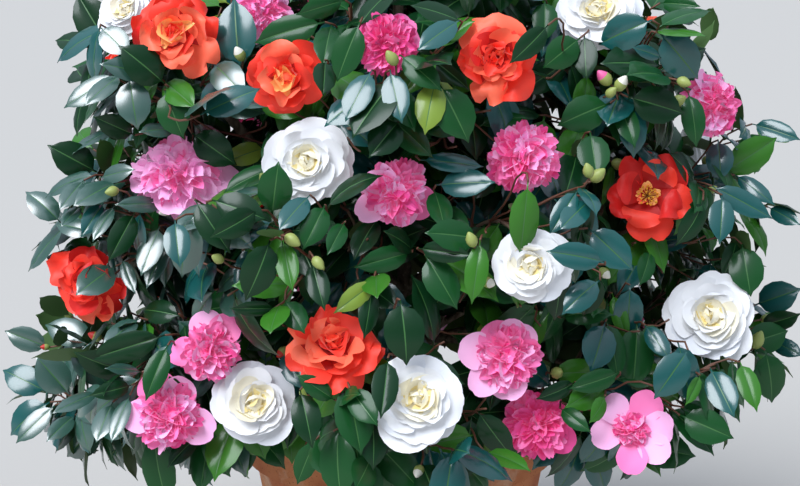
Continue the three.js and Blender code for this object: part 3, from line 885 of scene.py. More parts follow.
twig_paths = []
for mass_number in range(len(mass_names)):
    end, heading = limb_end(mass_number)
    knots = [{"place": end, "direction": heading, "back": None, "length": 0.0, "open": True, "shoots": 0}]
    members = [shoot for shoot in shoots if shoot["mass"] == mass_number]
    members.sort(key=lambda shoot: (shoot["place"] - end).length)
    for shoot in members:
        best, least = knots[0], float("inf")
        near = [bloom for bloom in blooms if (bloom["place"] - shoot["place"]).length < BLOOM_NEAR]
        for knot in knots:
            if not knot["open"]:
                continue
            apart = shoot["place"] - knot["place"]
            bend = 1 - knot["direction"].dot(apart.normalized()) if apart.length > 1e-6 else 2
            cost = apart.length * (1 + BEND_BIAS * bend) + ROOT_BIAS * knot["length"]
            if any(crosses(knot["place"], shoot["place"], bloom) for bloom in near if bloom is not shoot["bloom"]):
                cost += BLOOM_DETOUR
            if apart.length > SHORTEST_TWIG and cost < least:
                best, least = knot, cost
        apart = (shoot["place"] - best["place"]).length
        leave = (best["direction"] * 0.6 + (shoot["place"] - best["place"]).normalized()).normalized()
        steps = max(3, math.ceil(apart * TWIG_SLACK / TWIG_STEP))
        path, back = [best], best
        for step in range(1, steps + 1):
            t = step / steps
            place = (
                best["place"] * (2 * t**3 - 3 * t**2 + 1)
                + leave * (apart * TWIG_PULL * (t**3 - 2 * t**2 + t))
                + shoot["place"] * (3 * t**2 - 2 * t**3)
                + shoot["direction"] * (apart * TWIG_PULL * (t**3 - t**2))
            )
            if step < steps:
                place = place + uneven(TWIG_WANDER)
            length = back["length"] + (place - back["place"]).length
            knot = {"place": place, "direction": (place - back["place"]).normalized(), "back": back}
            knot |= {"length": length, "open": apart * (1 - t) > LEAFY_LENGTH, "shoots": 0}
            path.append(knot)
            back = knot
        knots.extend(path[1:])
        shoot["path"] = path
        twig_paths.append(path)
        while back:
            back["shoots"] += 1
            back = back["back"]


def twig_radius(knot):
    """A twig is as thick as the shoots that it carries need, up to the end of its limb."""
    return min(SHOOT_RADIUS * max(1, knot["shoots"]) ** (1 / THICKENING), LIMB_END_RADIUS)


def tube(path_points, radii, sides):
    """A closed tube along a path as points, corners and starts. Its last ring is drawn to a blunt tip."""
    rings = []
    side = (path_points[1] - path_points[0]).orthogonal().normalized()
    for i, place in enumerate(path_points):
        ahead = path_points[min(i + 1, len(path_points) - 1)] - path_points[max(i - 1, 0)]
        ahead.normalize()
        side = (side - ahead * side.dot(ahead)).normalized()
        other = ahead.cross(side)
        for k in range(sides):
            angle = 2 * math.pi * k / sides
            rings.append(place + (side * math.cos(angle) + other * math.sin(angle)) * radii[i])
    corners = []
    for i in range(len(path_points) - 1):
        for k in range(sides):
            near, far = i * sides, (i + 1) * sides
            corners.append((near + k, near + (k + 1) % sides, far + (k + 1) % sides, far + k))
    corners = np.array(corners)
    last = (len(path_points) - 1) * sides
    caps = np.array([list(range(sides))[::-1], list(range(last, last + sides))])
    starts = np.concatenate([np.arange(len(corners)) * 4, len(corners) * 4 + np.array([0, sides])])
    return np.array(rings), np.concatenate([corners.ravel(), caps.ravel()]), starts


twig_groups = []
for path in twig_paths:
    radii = [twig_radius(knot) for knot in path]
    radii[0] = radii[1]
    points, corners, starts = tube([knot["place"] for knot in path], radii, TWIG_SIDES)
    young = np.array([radius < OLD_WOOD_RADIUS for radius in radii[1:]], int)
    finishes = np.concatenate([np.repeat(young, TWIG_SIDES), [young[0], young[-1]]])
    twig_groups.append((points, corners, starts, finishes))

# Twig bark, too fine to show a pattern: one plain tint for old wood and one for the young, slightly waxy shoots.
old_wood, _ = new_material("old_twig_bark", Base_Color=linear("#7A6A58"), Roughness=0.8, Specular_IOR_Level=0.3)
young_wood, _ = new_material("young_twig_bark", Base_Color=linear("#66402E"), Roughness=0.55)
twigs = joined("twigs", twig_groups, [old_wood, young_wood])
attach(twigs, "root")


# Leaves: stiff, leathery, 60 to 85 mm long, dark and glossy above, paler and dull beneath, folded along a pale
# midrib, on a short stalk. They stand alternately round each shoot. A few leaves are shaped, and the rest copied.
LEAF_LENGTHS = (0.060, 0.085)
LEAF_WIDTH = 0.27
STALK_SHARE = 0.10
LEAF_ROWS = (0.0, 0.10, 0.19, 0.35, 0.54, 0.73, 0.88, 0.96, 1.04)
LEAF_OUTLINE = (0.045, 0.055, 0.60, 0.93, 1.0, 0.86, 0.50, 0.17, 0.02)
RIB = 0.035
LEAF_COLUMNS = (-1.0, -0.5, -RIB, RIB, 0.5, 1.0)
LEAF_THICKNESS = 0.006
QUILTING = 0.011
LEAF_FORMS = (
    # fold along the midrib, arch down the length, twist of the tip, curl of the margins
    {"fold": 0.34, "arch": 0.30, "twist": 0.14, "curl": 0.36},
    {"fold": 0.24, "arch": 0.48, "twist": -0.20, "curl": 0.30},
    {"fold": 0.44, "arch": 0.20, "twist": 0.08, "curl": 0.42},
    {"fold": 0.14, "arch": 0.38, "twist": 0.26, "curl": 0.30},
    {"fold": 0.10, "arch": 0.16, "twist": 0.06, "curl": 0.14},
)
FLAT_FORM = len(LEAF_FORMS) - 1
TIP_ROOM = 0.026
LEAVES_ON_SHOOT = (5, 8)
INNER_LEAVES = 4
LEAF_STEPS = (0.007, 0.010)
LEAF_STEP_GROWTH = 0.0022
LEAF_OPENING = (56, 9)
LEAF_OPENING_GROWTH = 5
OPENING_UNDER_BLOOM = 16
LEAF_DROOPS = (0.15, 0.80)
LEAF_SPOTS = (0.4, 0.65, 0.9)
LEAF_APART = 0.0145
LEAF_TURN = math.radians(144)
LEAF_TURN_SPREAD = 0.25
LEAF_TILT_SPREAD = 0.24
leaf_dice = np.random.default_rng(77)


def leaf_pattern(form):
    """One leaf, its stalk's foot at the origin, pointing along Y, its upper face up. Its length is about 1. The
    margins and both sides of the midrib are marked as creases."""
    rows, columns = len(LEAF_ROWS), len(LEAF_COLUMNS)
    bpy.ops.mesh.primitive_grid_add(x_subdivisions=columns - 1, y_subdivisions=rows - 1, size=1)
    leaf = bpy.context.object
    points = read_points(leaf)
    column = np.rint((points[:, 0] + 0.5) * (columns - 1)).astype(int)
    row = np.rint((points[:, 1] + 0.5) * (rows - 1)).astype(int)
    along = np.array(LEAF_ROWS)[row]
    across = np.array(LEAF_COLUMNS)[column]
    half = LEAF_WIDTH * np.array(LEAF_OUTLINE)[row]
    blade = np.maximum(0, along - STALK_SHARE)
    side = across * half
    height = form["fold"] * np.abs(side) - form["curl"] * (side / LEAF_WIDTH) ** 2 * LEAF_WIDTH
    height += np.where(np.abs(across) == 0.5, QUILTING * (1 + (-1.0) ** row) * (half > 0.1), 0)
    height += form["twist"] * side * blade - form["arch"] * blade**2
    ahead = along - 0.35 * form["arch"] ** 2 * blade**3
    write_points(leaf, np.stack([side, ahead, height], axis=1))
    grid = np.lexsort((column, row)).reshape(rows, columns)
    shape = [tuple(point) for point in read_points(leaf)]
    faces, parts = [], []
    for i in range(rows - 1):
        for j in range(columns - 1):
            faces.append((grid[i, j], grid[i, j + 1], grid[i + 1, j + 1], grid[i + 1, j]))
            parts.append(1 if j == (columns - 2) // 2 else 0)
    keel = []
    for i in range(rows):
        middle = np.mean([shape[grid[i, columns // 2 - 1]], shape[grid[i, columns // 2]]], axis=0)
        keel.append(len(shape))
        shape.append((middle[0], middle[1], middle[2] - LEAF_THICKNESS - 0.02 * (i < 2)))
    for i in range(rows - 1):
        faces.append((grid[i, 0], grid[i + 1, 0], keel[i + 1], keel[i]))
        faces.append((keel[i], keel[i + 1], grid[i + 1, -1], grid[i, -1]))
        parts += [2, 2]
    faces.append((*grid[0, ::-1], keel[0]))
    faces.append((*grid[-1, :], keel[-1]))
    parts += [2, 2]
    bpy.data.objects.remove(leaf)
    mesh = bpy.data.meshes.new("camellia_leaf")
    mesh.from_pydata(shape, [], [[int(i) for i in face] for face in faces])
    mesh.polygons.foreach_set("material_index", parts)
    pattern = read_pattern(bpy.data.objects.new("camellia_leaf", mesh))
    creases = np.zeros(len(shape), int)
    for number, line in enumerate((0, columns // 2 - 1, columns // 2, columns - 1)):
        creases[grid[:, line]] = number + 1
    pattern["creases"] = creases
    return pattern


def place_matrix(place, along, up, length, width=1.0):
    """The matrix that sets a pattern at a place, its Y along one way and its Z as near up as that lets it."""
    along = along.normalized()
    up = (up - along * up.dot(along)).normalized()
    side = along.cross(up)
    matrix = np.zeros((3, 4))
    for i, (way, scale) in enumerate(((side, length * width), (along, length), (up, length))):
        matrix[:, i] = np.array(way) * scale
    matrix[:, 3] = place
    return matrix


def along_path(path, distance):
    """The place and direction on a twig at a distance back from its tip."""
    for knot in reversed(path[1:]):
        piece = (knot["place"] - knot["back"]["place"]).length
        if distance <= piece:
            return knot["place"].lerp(knot["back"]["place"], distance / piece), knot["direction"]
        distance -= piece
    return path[0]["place"], path[1]["direction"]


def crowded(spot, number_of_shoot):
    """Whether a spot of a new leaf is too near to a leaf of another shoot."""
    across, deep, high = (math.floor(c / LEAF_APART) for c in spot)
    for x in (-1, 0, 1):
        for y in (-1, 0, 1):
            for z in (-1, 0, 1):
                for other, owner in spots_by_cell.get((across + x, deep + y, high + z), ()):
                    if owner != number_of_shoot and (other - spot).length < LEAF_APART:
                        return True
    return False


def claim(leaf, number_of_shoot):
    """Keeps a new leaf, with the cells that its spots fill."""
    for share in LEAF_SPOTS:
        spot = leaf["place"] + leaf["along"] * leaf["length"] * share
        cell = tuple(math.floor(c / LEAF_APART) for c in spot)
        spots_by_cell.setdefault(cell, []).append((spot, number_of_shoot))
    leaves.append(leaf)


# Leaf tints: deep, mid, blue and fresh green, the yellow-green of the newest, and the silvery one of the waxiest.
# The blue and the silvery tints are partly painted sky sheen, the blue of the sky on the right and its pale sheen
# on the left. One is dealt to each spray, the blue and the silvery more often on the side where the photograph
# shows them.
TINT_NAMES = ("deep", "green", "blue", "fresh", "young", "silver")
LEFT_SIDE, RIGHT_SIDE = -0.2, 0.15
SILVER_SHARE_LEFT = 0.5
TINT_SHARES = (0.40, 0.35, 0.14, 0.11)
TINT_SHARES_RIGHT = (0.30, 0.30, 0.30, 0.10)
YOUNG_SHARE = 0.025
YOUNG_LEAVES = 3
ODD_TINT_SHARE = 0.12
LEAF_WIDTHS = (0.88, 1.12)
LOWEST_OUTLOOK = -0.25
low_corner, high_corner = (Vector(corner) for corner in cad_box)
leaves = []
spots_by_cell = {}
for number_of_shoot, shoot in enumerate(shoots):
    if "leaf" in shoot:
        form = FLAT_FORM if shoot["leaf"]["flat"] else int(leaf_dice.integers(FLAT_FORM))
        leaf = shoot["leaf"] | {"mass": shoot["mass"], "photo": True, "form": form}
        leaf["tint"] = TINT_NAMES.index(leaf["tint"])
        claim(leaf, number_of_shoot)
for number_of_shoot, shoot in enumerate(shoots):
    count = int(leaf_dice.integers(*LEAVES_ON_SHOOT, endpoint=True)) if shoot["outer"] else INNER_LEAVES
    shares = TINT_SHARES_RIGHT if shoot["place"].x > RIGHT_SIDE else TINT_SHARES
    spray_tint = int(leaf_dice.choice(len(shares), p=shares))
    if shoot["place"].x < LEFT_SIDE and leaf_dice.random() < SILVER_SHARE_LEFT:
        spray_tint = TINT_NAMES.index("silver")
    young = leaf_dice.random() < YOUNG_SHARE
    distance = 0.010 if shoot["bloom"] or shoot.keys() & {"leaf", "bud"} else 0.0
    turn = leaf_dice.uniform(0, 2 * math.pi)
    outward = (shoot["place"] - HEART).normalized()
    for number in range(count):
        place, direction = along_path(shoot["path"], distance)
        distance += leaf_dice.uniform(*LEAF_STEPS) + LEAF_STEP_GROWTH * number
        turn += LEAF_TURN + leaf_dice.normal(0, LEAF_TURN_SPREAD)
        first = direction.orthogonal().normalized()
        spoke = first * math.cos(turn) + direction.cross(first) * math.sin(turn)
        opening = leaf_dice.normal(LEAF_OPENING[0] + LEAF_OPENING_GROWTH * number, LEAF_OPENING[1])
        opening = math.radians(opening + (OPENING_UNDER_BLOOM if shoot["bloom"] else 0))
        along = direction * math.cos(opening) + spoke * math.sin(opening)
        along = (along + outward * 0.10 - Vector((0, 0, leaf_dice.uniform(*LEAF_DROOPS)))).normalized()
        if along.dot(outward) < LOWEST_OUTLOOK:
            along = (along + outward * 0.7).normalized()
        up = direction * 0.2 + outward * 0.7 + Vector((0, 0, 0.65))
        up += Vector(leaf_dice.normal(0, LEAF_TILT_SPREAD, 3))
        length = leaf_dice.uniform(*LEAF_LENGTHS) * (0.8 if number == 0 else 1.0)
        leaf = {"place": place, "along": along, "up": up, "length": length, "mass": shoot["mass"], "photo": False}
        tip = place + along * length
        if any(not low - TIP_ROOM < c < high + TIP_ROOM for low, c, high in zip(low_corner, tip, high_corner)):
            continue
        if any(crowded(place + along * length * share, number_of_shoot) for share in LEAF_SPOTS):
            continue
        tint = TINT_NAMES.index("young") if young and number < YOUNG_LEAVES else spray_tint
        if leaf_dice.random() < ODD_TINT_SHARE:
            tint = int(leaf_dice.choice(len(TINT_SHARES)))
        leaf |= {"tint": tint, "width": leaf_dice.uniform(*LEAF_WIDTHS)}
        leaf["form"] = int(leaf_dice.integers(len(LEAF_FORMS)))
        claim(leaf, number_of_shoot)

# No seeded leaf stands inside a bloom, hides a bloom, bud or leaf that the photograph shows, or fills a hollow. What
# is kept clear is a middle, the radius round it as seen, and how far behind it a leaf still counts as before it.
HOLLOW_DEPTH = 0.11
BLOOM_CLEAR_BEHIND = 0.034
SHOWN_CLEAR_BEHIND = 0.004
BLOOM_HEIGHT = 0.45
seeded = np.array([not leaf["photo"] for leaf in leaves])
leaf_bases = np.array([leaf["place"] for leaf in leaves])
leaf_ways = np.array([leaf["along"] for leaf in leaves]) * np.array([leaf["length"] for leaf in leaves])[:, None]
kept_clear = []
for bloom in blooms:
    if bloom["photo"]:
        middle = bloom["place"] + bloom["axis"] * bloom["radius"] * BLOOM_HEIGHT
        kept_clear.append((middle, bloom["radius"] * 0.92, BLOOM_CLEAR_BEHIND))
for leaf in leaves:
    if leaf["photo"]:
        for share in (0.3, 0.55, 0.8):
            middle = leaf["place"] + leaf["along"] * leaf["length"] * share
            half_width = leaf["length"] * leaf["width"] * LEAF_WIDTH
            kept_clear.append((middle, half_width * 0.75, SHOWN_CLEAR_BEHIND))
for shoot in shoots:
    if "bud" in shoot:
        _, length = shoot["bud"]
        middle = shoot["place"] + shoot["direction"] * length * 0.6
        kept_clear.append((middle, length * 0.6, SHOWN_CLEAR_BEHIND))
for x, y, radius in PHOTO_HOLLOWS:
    distance, _, _ = skin_behind(x, y)
    middle = CAMERA_PLACE + sight_line(x, y) * distance
    kept_clear.append((middle, radius * distance / FOCAL_LENGTH_PX, HOLLOW_DEPTH))
hidden = np.zeros(len(leaves), bool)
for share in (0.3, 0.55, 0.8, 1.0):
    spots = leaf_bases + leaf_ways * share
    spot_x, spot_y, spot_ahead = in_picture(spots)
    for bloom in blooms:
        apart = spots - np.array(bloom["place"] + bloom["axis"] * bloom["radius"] * BLOOM_HEIGHT)
        ahead = apart @ np.array(bloom["axis"])
        beside = np.linalg.norm(apart - ahead[:, None] * np.array(bloom["axis"]), axis=1)
        inside = (beside < bloom["radius"] * 0.86) & (ahead > -bloom["radius"] * BLOOM_HEIGHT)
        hidden |= seeded & inside & (ahead < 0.06)
    for middle, radius, margin in kept_clear:
        x, y, distance = (value[0] for value in in_picture([middle]))
        before = (spot_ahead < distance + margin) & seeded
        hidden |= before & (np.hypot(spot_x - x, spot_y - y) < radius * FOCAL_LENGTH_PX / distance)
leaves = [leaf for leaf, gone in zip(leaves, hidden) if not gone]

# Leaf cuticle, waxed and glossy over chlorophyll, in plain tints, each leaf with its paler midrib. Each row is a
# name, the green, and the wax: its weight, its index and its haze. The blue and the silvery leaves carry the most
# wax, so they throw the sky back, and their greens, bluer and greyer than the rest, are partly painted sky sheen
# on top of their own tint. The dull underside is the same for all.
LEAF_FINISHES = (
    ("leaf_deep_green", "#0A3217", 0.38, 1.5, 0.18),
    ("leaf_green", "#154A21", 0.38, 1.5, 0.18),
    ("leaf_blue_green", "#12524F", 1.00, 1.6, 0.18),
    ("leaf_fresh_green", "#35701F", 0.45, 1.5, 0.18),
    ("leaf_young_yellow_green", "#7B9438", 0.50, 1.5, 0.18),
    ("leaf_waxy_silver_green", "#2C5347", 1.00, 2.0, 0.26),
)
BLADE = {"Roughness": 0.4, "IOR": 1.48, "Specular_IOR_Level": 0.15}
leaf_materials = []
for name, green, wax, wax_index, haze in LEAF_FINISHES:
    coat = {"Coat_Weight": wax, "Coat_IOR": wax_index, "Coat_Roughness": haze}
    leaf_material, _ = new_material(name, Base_Color=linear(green), **BLADE, **coat)
    leaf_materials.append(leaf_material)
midrib, _ = new_material("leaf_midrib", Base_Color=linear("#3A6A34"), Roughness=0.40)
underside, _ = new_material("leaf_underside", Base_Color=linear("#4A6B38"), Roughness=0.62)
leaf_materials += [midrib, underside]
MIDRIB, UNDERSIDE = len(LEAF_FINISHES), len(LEAF_FINISHES) + 1

# The leaves of each ring of masses are joined into a piece, those of the skirt and the middle rings into a front and
# a back piece.
BACK_ENDINGS = ("_left", "_back_left", "_back", "_back_right")
leaf_patterns = [leaf_pattern(form) for form in LEAF_FORMS]
masses_of_piece = {}
for number, name in enumerate(mass_names):
    ring = name.split("_")[1]
    behind = name.removeprefix("foliage_" + ring) in BACK_ENDINGS
    if ring in ("skirt", "middle"):
        ring += "_back" if behind else "_front"
    masses_of_piece.setdefault(ring, []).append(number)
for ring, ring_masses in masses_of_piece.items():
    groups, creases = [], []
    for form, pattern in enumerate(leaf_patterns):
        chosen = [leaf for leaf in leaves if leaf["form"] == form and leaf["mass"] in ring_masses]
        if not chosen:
            continue
        keys = ("place", "along", "up", "length", "width")
        places = np.array([place_matrix(*(leaf[key] for key in keys)) for leaf in chosen])
        finishes = np.array([(leaf["tint"], MIDRIB, UNDERSIDE) for leaf in chosen])
        groups.append(copies(pattern, places, finishes))
        creases.append(np.tile(pattern["creases"], len(chosen)))
    foliage = joined("leaves_" + ring, groups, leaf_materials, np.concatenate(creases))
    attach(foliage, "root")
    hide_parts(*[mass_names[number] for number in ring_masses])


# Petals: soft, thick, waxy sheets in rings round the bloom's axis. Each ring is worked out from how far its petals
# lean away from the axis at the foot and at the tip, how they cup, and how their margins wave.
FINE = (8, 6)
COARSE = (4, 4)
SLIM_FINE = (4, 6)
SLIM_COARSE = (3, 2)
PETAL_FOOT = 0.42
GOLDEN_TURN = math.radians(137.5)
petal_dice = np.random.default_rng(1234)


def petals(count, reach, width, lean, cup=0.1, wave=0.03, rise=0.1, grain=FINE, foot=0.05, tilt=0.1, notch=0.0,
           azimuth=None, jitter=1.0, frills=3):
    """A ring of petals as points: petal, row from foot to tip, column across, xyz. Lengths are shares of the
    bloom's radius. lean is (foot, tip) in degrees from the axis. A value may be one for all, or one a petal."""
    rows, columns = grain

    def each(value, spread=0.0):
        value = np.broadcast_to(np.asarray(value, float), count)[:, None, None]
        return value * (1 + spread * jitter * petal_dice.uniform(-1, 1, (count, 1, 1)))

    # A square grid is drawn round, which gives the rounded tip, and narrowed to the foot.
    u = np.linspace(-1, 1, columns + 1)[None, None, :]
    v = np.linspace(-1, 1, rows + 1)[None, :, None]
    across = u * np.sqrt(1 - v**2 / 2)
    onward = v * np.sqrt(1 - u**2 / 2)
    along = (onward + 1) / 2 - each(notch, 0.8) * np.exp(-((u / 0.28) ** 2)) * ((v + 1) / 2) ** 6
    half = each(width, 0.10) / 2
    sideways = across * half * np.minimum(1, PETAL_FOOT + (1 - PETAL_FOOT) * along / 0.6)
    if azimuth is None:
        step = 2 * np.pi / count
        azimuth = petal_dice.uniform(0, step) + step * (np.arange(count) + 0.16 * petal_dice.normal(size=count))
    azimuth = each(azimuth)
    foot_lean = np.radians(each(lean[0], 0.10))
    bend = np.radians(each(lean[1], 0.08)) - foot_lean
    bend = np.where(np.abs(bend) < 0.01, 0.01, bend)
    leaning = foot_lean + bend * along
    length = each(reach, 0.08)
    out = foot + length * (np.cos(foot_lean) - np.cos(leaning)) / bend
    up = rise + length * (np.sin(leaning) - np.sin(foot_lean)) / bend
    phase = petal_dice.uniform(0, 2 * np.pi, (3, count, 1, 1))
    rim = np.hypot(across, onward)
    bearing = np.arctan2(onward, across)
    strength = each(wave, 0.5) * along
    lift = each(cup, 0.4) * half * across**2 * 2 + each(tilt, 0.3) * half * across
    lift = lift + strength * rim**3 * np.sin(frills * bearing + phase[0])
    lift = lift + strength * 0.7 * np.sin(2.4 * across + 3.2 * onward + phase[1])
    radial = out - np.cos(leaning) * lift
    axial = up + np.sin(leaning) * lift
    x = radial * np.cos(azimuth) - sideways * np.sin(azimuth)
    y = radial * np.sin(azimuth) + sideways * np.cos(azimuth)
    return np.stack([x, y, axial], axis=-1)


def tones(count, shares, rows, foot_tone=0, foot_rows=0):
    """A tone for each row of each petal, dealt in the given shares, with another tone on the rows at the foot."""
    picked = np.repeat(petal_dice.choice(len(shares), size=(count, 1), p=shares), rows, axis=1)
    picked[:, :foot_rows] = foot_tone
    return picked


def petal_group(points, finishes):
    """A ring's points, and the material of each row of each petal, as a group for joined."""
    count, rows, columns, _ = points.shape
    index = np.arange(rows * columns).reshape(rows, columns)
    quads = np.stack([index[:-1, :-1], index[:-1, 1:], index[1:, 1:], index[1:, :-1]], axis=-1).reshape(-1, 4)
    corners = (quads[None] + rows * columns * np.arange(count)[:, None, None]).ravel()
    starts = np.arange(count * len(quads)) * 4
    return points.reshape(-1, 3), corners, starts, np.repeat(finishes, columns - 1, axis=1).ravel()


def outermost(bloom, reach, width, lean, grain, **shape):
    """The ring of outermost petals: where the photograph shows them, or six evenly round."""
    if not bloom["guards"]:
        return petals(6, reach, width, lean, grain=grain, **shape)
    bearings, shares = np.array(bloom["guards"]).T
    reach = reach * shares
    return petals(len(shares), reach, width, lean, grain=grain, azimuth=np.radians(bearings), **shape)


def seat_bloom(group, bloom):
    """Turns and moves a group from a bloom's own axes, in shares of its radius, to its place on the shrub. The
    bloom's Y is the way up as one sees its face."""
    points, corners, starts, finishes = group
    upward = VIEW_UP if abs(bloom["axis"].dot(VIEW_UP)) < 0.95 else VIEW_AHEAD
    upward = (upward - bloom["axis"] * upward.dot(bloom["axis"])).normalized()
    turned = np.array([upward.cross(bloom["axis"]), upward, bloom["axis"]])
    return points @ turned * bloom["radius"] + np.array(bloom["place"]), corners, starts, finishes


# White blooms, formal double: broad rounded petals lap ring over ring, and the heart is a bud of small cupped cream
# ones that close over it. Tones are white, cool white, cream and pale yellow. The cool white is painted shade, a
# shaded copy of the white dealt to some outer petals and laid low on others; the pale yellow at the feet of the
# heart's petals is partly their own tint and partly painted shade between them.
def white_bloom(bloom, fine):
    grain = FINE if fine else COARSE
    rows = grain[0]
    ring = outermost(bloom, 0.96, 1.14, (78, 97), grain, cup=-0.02, wave=0.05, rise=0.07, notch=0.04, jitter=1.5)
    yield petal_group(ring, tones(len(ring), (0.6, 0.4, 0, 0), rows))
    # In the rings below, the last value is the tone of each petal's lower half: cool white there is painted shade
    # under the outer rings, and pale yellow is partly the heart's own tint and partly painted shade between its
    # petals.
    for count, reach, width, lean, cup, rise, shares, foot_tone in (
        (6, 0.86, 1.04, (70, 89), 0.02, 0.09, (0.8, 0.2, 0, 0), 0),
        (5, 0.74, 0.92, (60, 80), 0.06, 0.12, (1, 0, 0, 0), 1),
        (5, 0.61, 0.76, (46, 68), 0.12, 0.14, (0.8, 0, 0.2, 0), 2),
        (4, 0.54, 0.66, (52, 40), 0.18, 0.13, (0.5, 0, 0.5, 0), 3),
        (4, 0.50, 0.60, (62, 8), 0.26, 0.13, (0.2, 0, 0.8, 0), 3),
        (3, 0.50, 0.58, (72, -76), 0.30, 0.12, (0, 0, 1, 0), 2),
        (5, 0.36, 0.34, (22, -62), 0.40, 0.20, (0, 0, 0.7, 0.3), 3),
    ):
        ring = petals(count, reach, width, lean, cup, 0.040, rise, grain, tilt=0.10, notch=0.04, jitter=1.7)
        yield petal_group(ring, tones(count, shares, rows, foot_tone, rows // 2))


# Red blooms, loose peony form: large thick waved petals, notched at the tip, round a heart of folded ones. The
# lower rows of the petals are painted a deeper red, crimson on the inner rings, as painted shade in the folds.
# Some hearts are apricot gold, and some stand open on stamens. Tones run from crimson to apricot.
def red_bloom(bloom, fine):
    grain = FINE if fine else COARSE
    rows = grain[0]
    plain = (0, 0.45, 0.50, 0.05, 0) if bloom["kind"] == "red" else (0, 0.05, 0.45, 0.50, 0)
    heart = (0, 0, 0.2, 0.3, 0.5) if bloom["heart"] == "gold" else plain
    ring = outermost(bloom, 0.98, 1.02, (68, 98), grain, cup=-0.03, wave=0.15, rise=0.05, notch=0.12, jitter=1.5,
                     frills=4)
    # The lowest rows of the outer petals are painted a deeper red: painted shade where they fold.
    yield petal_group(ring, tones(len(ring), plain, rows, 1, rows // 4))
    rings = [(4, 0.80, 0.86, (56, 84), 0.04, 0.18, 0.11, plain)]
    if bloom["heart"] == "open":
        rings.append((5, 0.36, 0.24, (30, 64), 0.30, 0.050, 0.14, (0, 0, 0, 0.3, 0.7)))
    else:
        rings.append((5, 0.68, 0.74, (40, 66), 0.14, 0.13, 0.14, plain))
        rings.append((5, 0.54, 0.54, (22, 44), 0.34, 0.12, 0.15, heart))
        rings.append((6, 0.42, 0.34, (6, 14), 0.55, 0.09, 0.15, heart))
    for count, reach, width, lean, cup, wave, rise, shares in rings:
        ring = petals(count, reach, width, lean, cup, wave, rise, grain, tilt=0.14, notch=0.10, jitter=1.7)
        # The lower half of each inner petal is painted crimson, painted shade in the folds; in a gold heart it takes
        # the heart's coral.
        foot_tone = 3 if bloom["heart"] == "gold" and shares is heart else 0
        yield petal_group(ring, tones(count, shares, rows, foot_tone, rows // 2))


# Pink blooms, anemone form: a skirt of broad smooth petals, deeper at the foot, under a dome of a hundred small
# crinkled ones, pale at their frilled tips. The foot row of each small one is painted a deeper tone, magenta in
# the pink and the deep pink, as painted shade down in the creases. Tones are pale, bright, deep and magenta.
def pink_bloom(bloom, fine):
    grain, slim = (FINE, SLIM_FINE) if fine else (COARSE, SLIM_COARSE)
    # The third value is the tone painted on the foot row of each small petal: painted shade down in the creases.
    skirt, dome, crease_shade = {
        "pink": ((0.6, 0.4, 0, 0), (0.25, 0.60, 0.15, 0), 3),
        "deep_pink": ((0, 0.6, 0.4, 0), (0, 0.40, 0.60, 0), 3),
        "pale_pink": ((1, 0, 0, 0), (0.80, 0.20, 0, 0), 1),
    }[bloom["kind"]]
    ring = outermost(bloom, 0.98, 0.84, (80, 104), grain, cup=0.05, wave=0.04, rise=0.03, notch=0.04)
    yield petal_group(ring, tones(len(ring), skirt, grain[0], 2, grain[0] // 4))
    count, spread, reach = {"small": (44, 74, 0.46), "wide": (120, 90, 0.90)}.get(bloom["heart"], (112, 88, 0.74))
    if not fine:
        count = count // 2
    share = (np.arange(count) + 0.5) / count
    foot_lean = 3 + spread * share**0.6
    tip_lean = foot_lean + petal_dice.uniform(-14, 72, count)
    tip_lean[:7] = petal_dice.uniform(-75, -35, 7)
    reach = reach * (0.80 + 0.22 * share) * petal_dice.uniform(0.88, 1.06, count)
    tilt = petal_dice.uniform(-0.7, 0.7, count)
    ring = petals(count, reach, 0.36, (foot_lean, tip_lean), 0.42, 0.075, 0.04, slim, foot=0.02, tilt=tilt,
                  azimuth=np.arange(count) * GOLDEN_TURN, notch=0.05, jitter=1.5, frills=5)
    yield petal_group(ring, tones(count, dome, slim[0], crease_shade, 1))


# Camellia petals: thick and soft, with a faint satin sheen, in plain tones that are dealt out petal by petal. A
# sheet can't pass light on as a thick petal does, so each glows a little in its own tone instead.
# The second white, cool white, is painted shade; the deeper tones laid on the feet of red and pink petals are painted
# shade in their folds and creases.
PETAL_TONES = {
    "white": ("#EEEFF1", "#E6E9EF", "#F2ECD6", "#F0DE9E"),
    "red": ("#B01210", "#D8201C", "#F03A28", "#FB6A4C", "#FBAE66"),
    "pink": ("#FAB8E4", "#FC7FBC", "#F0529C", "#D22C7C"),
}
LIGHT_THROUGH = {"white": 0.06, "red": 0.12, "pink": 0.08}
BLOOM_MAKERS = {"white": white_bloom, "red": red_bloom, "pink": pink_bloom}
PETAL = {"Roughness": 0.52, "IOR": 1.42, "Sheen_Weight": 0.15}
for family, colours in PETAL_TONES.items():
    petal_materials = []
    for number, colour in enumerate(colours):
        tone, glow = linear(colour), LIGHT_THROUGH[family]
        petal_material, _ = new_material(
            f"petal_{family}_{number + 1}", Base_Color=tone, Emission_Color=tone, Emission_Strength=glow, **PETAL
        )
        petal_materials.append(petal_material)
    groups = []
    for bloom in blooms:
        if bloom["kind"].endswith(family):
            groups += [seat_bloom(group, bloom) for group in BLOOM_MAKERS[family](bloom, bloom["photo"])]
    family_blooms = joined("blooms_" + family, groups, petal_materials)
    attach(family_blooms, "root")


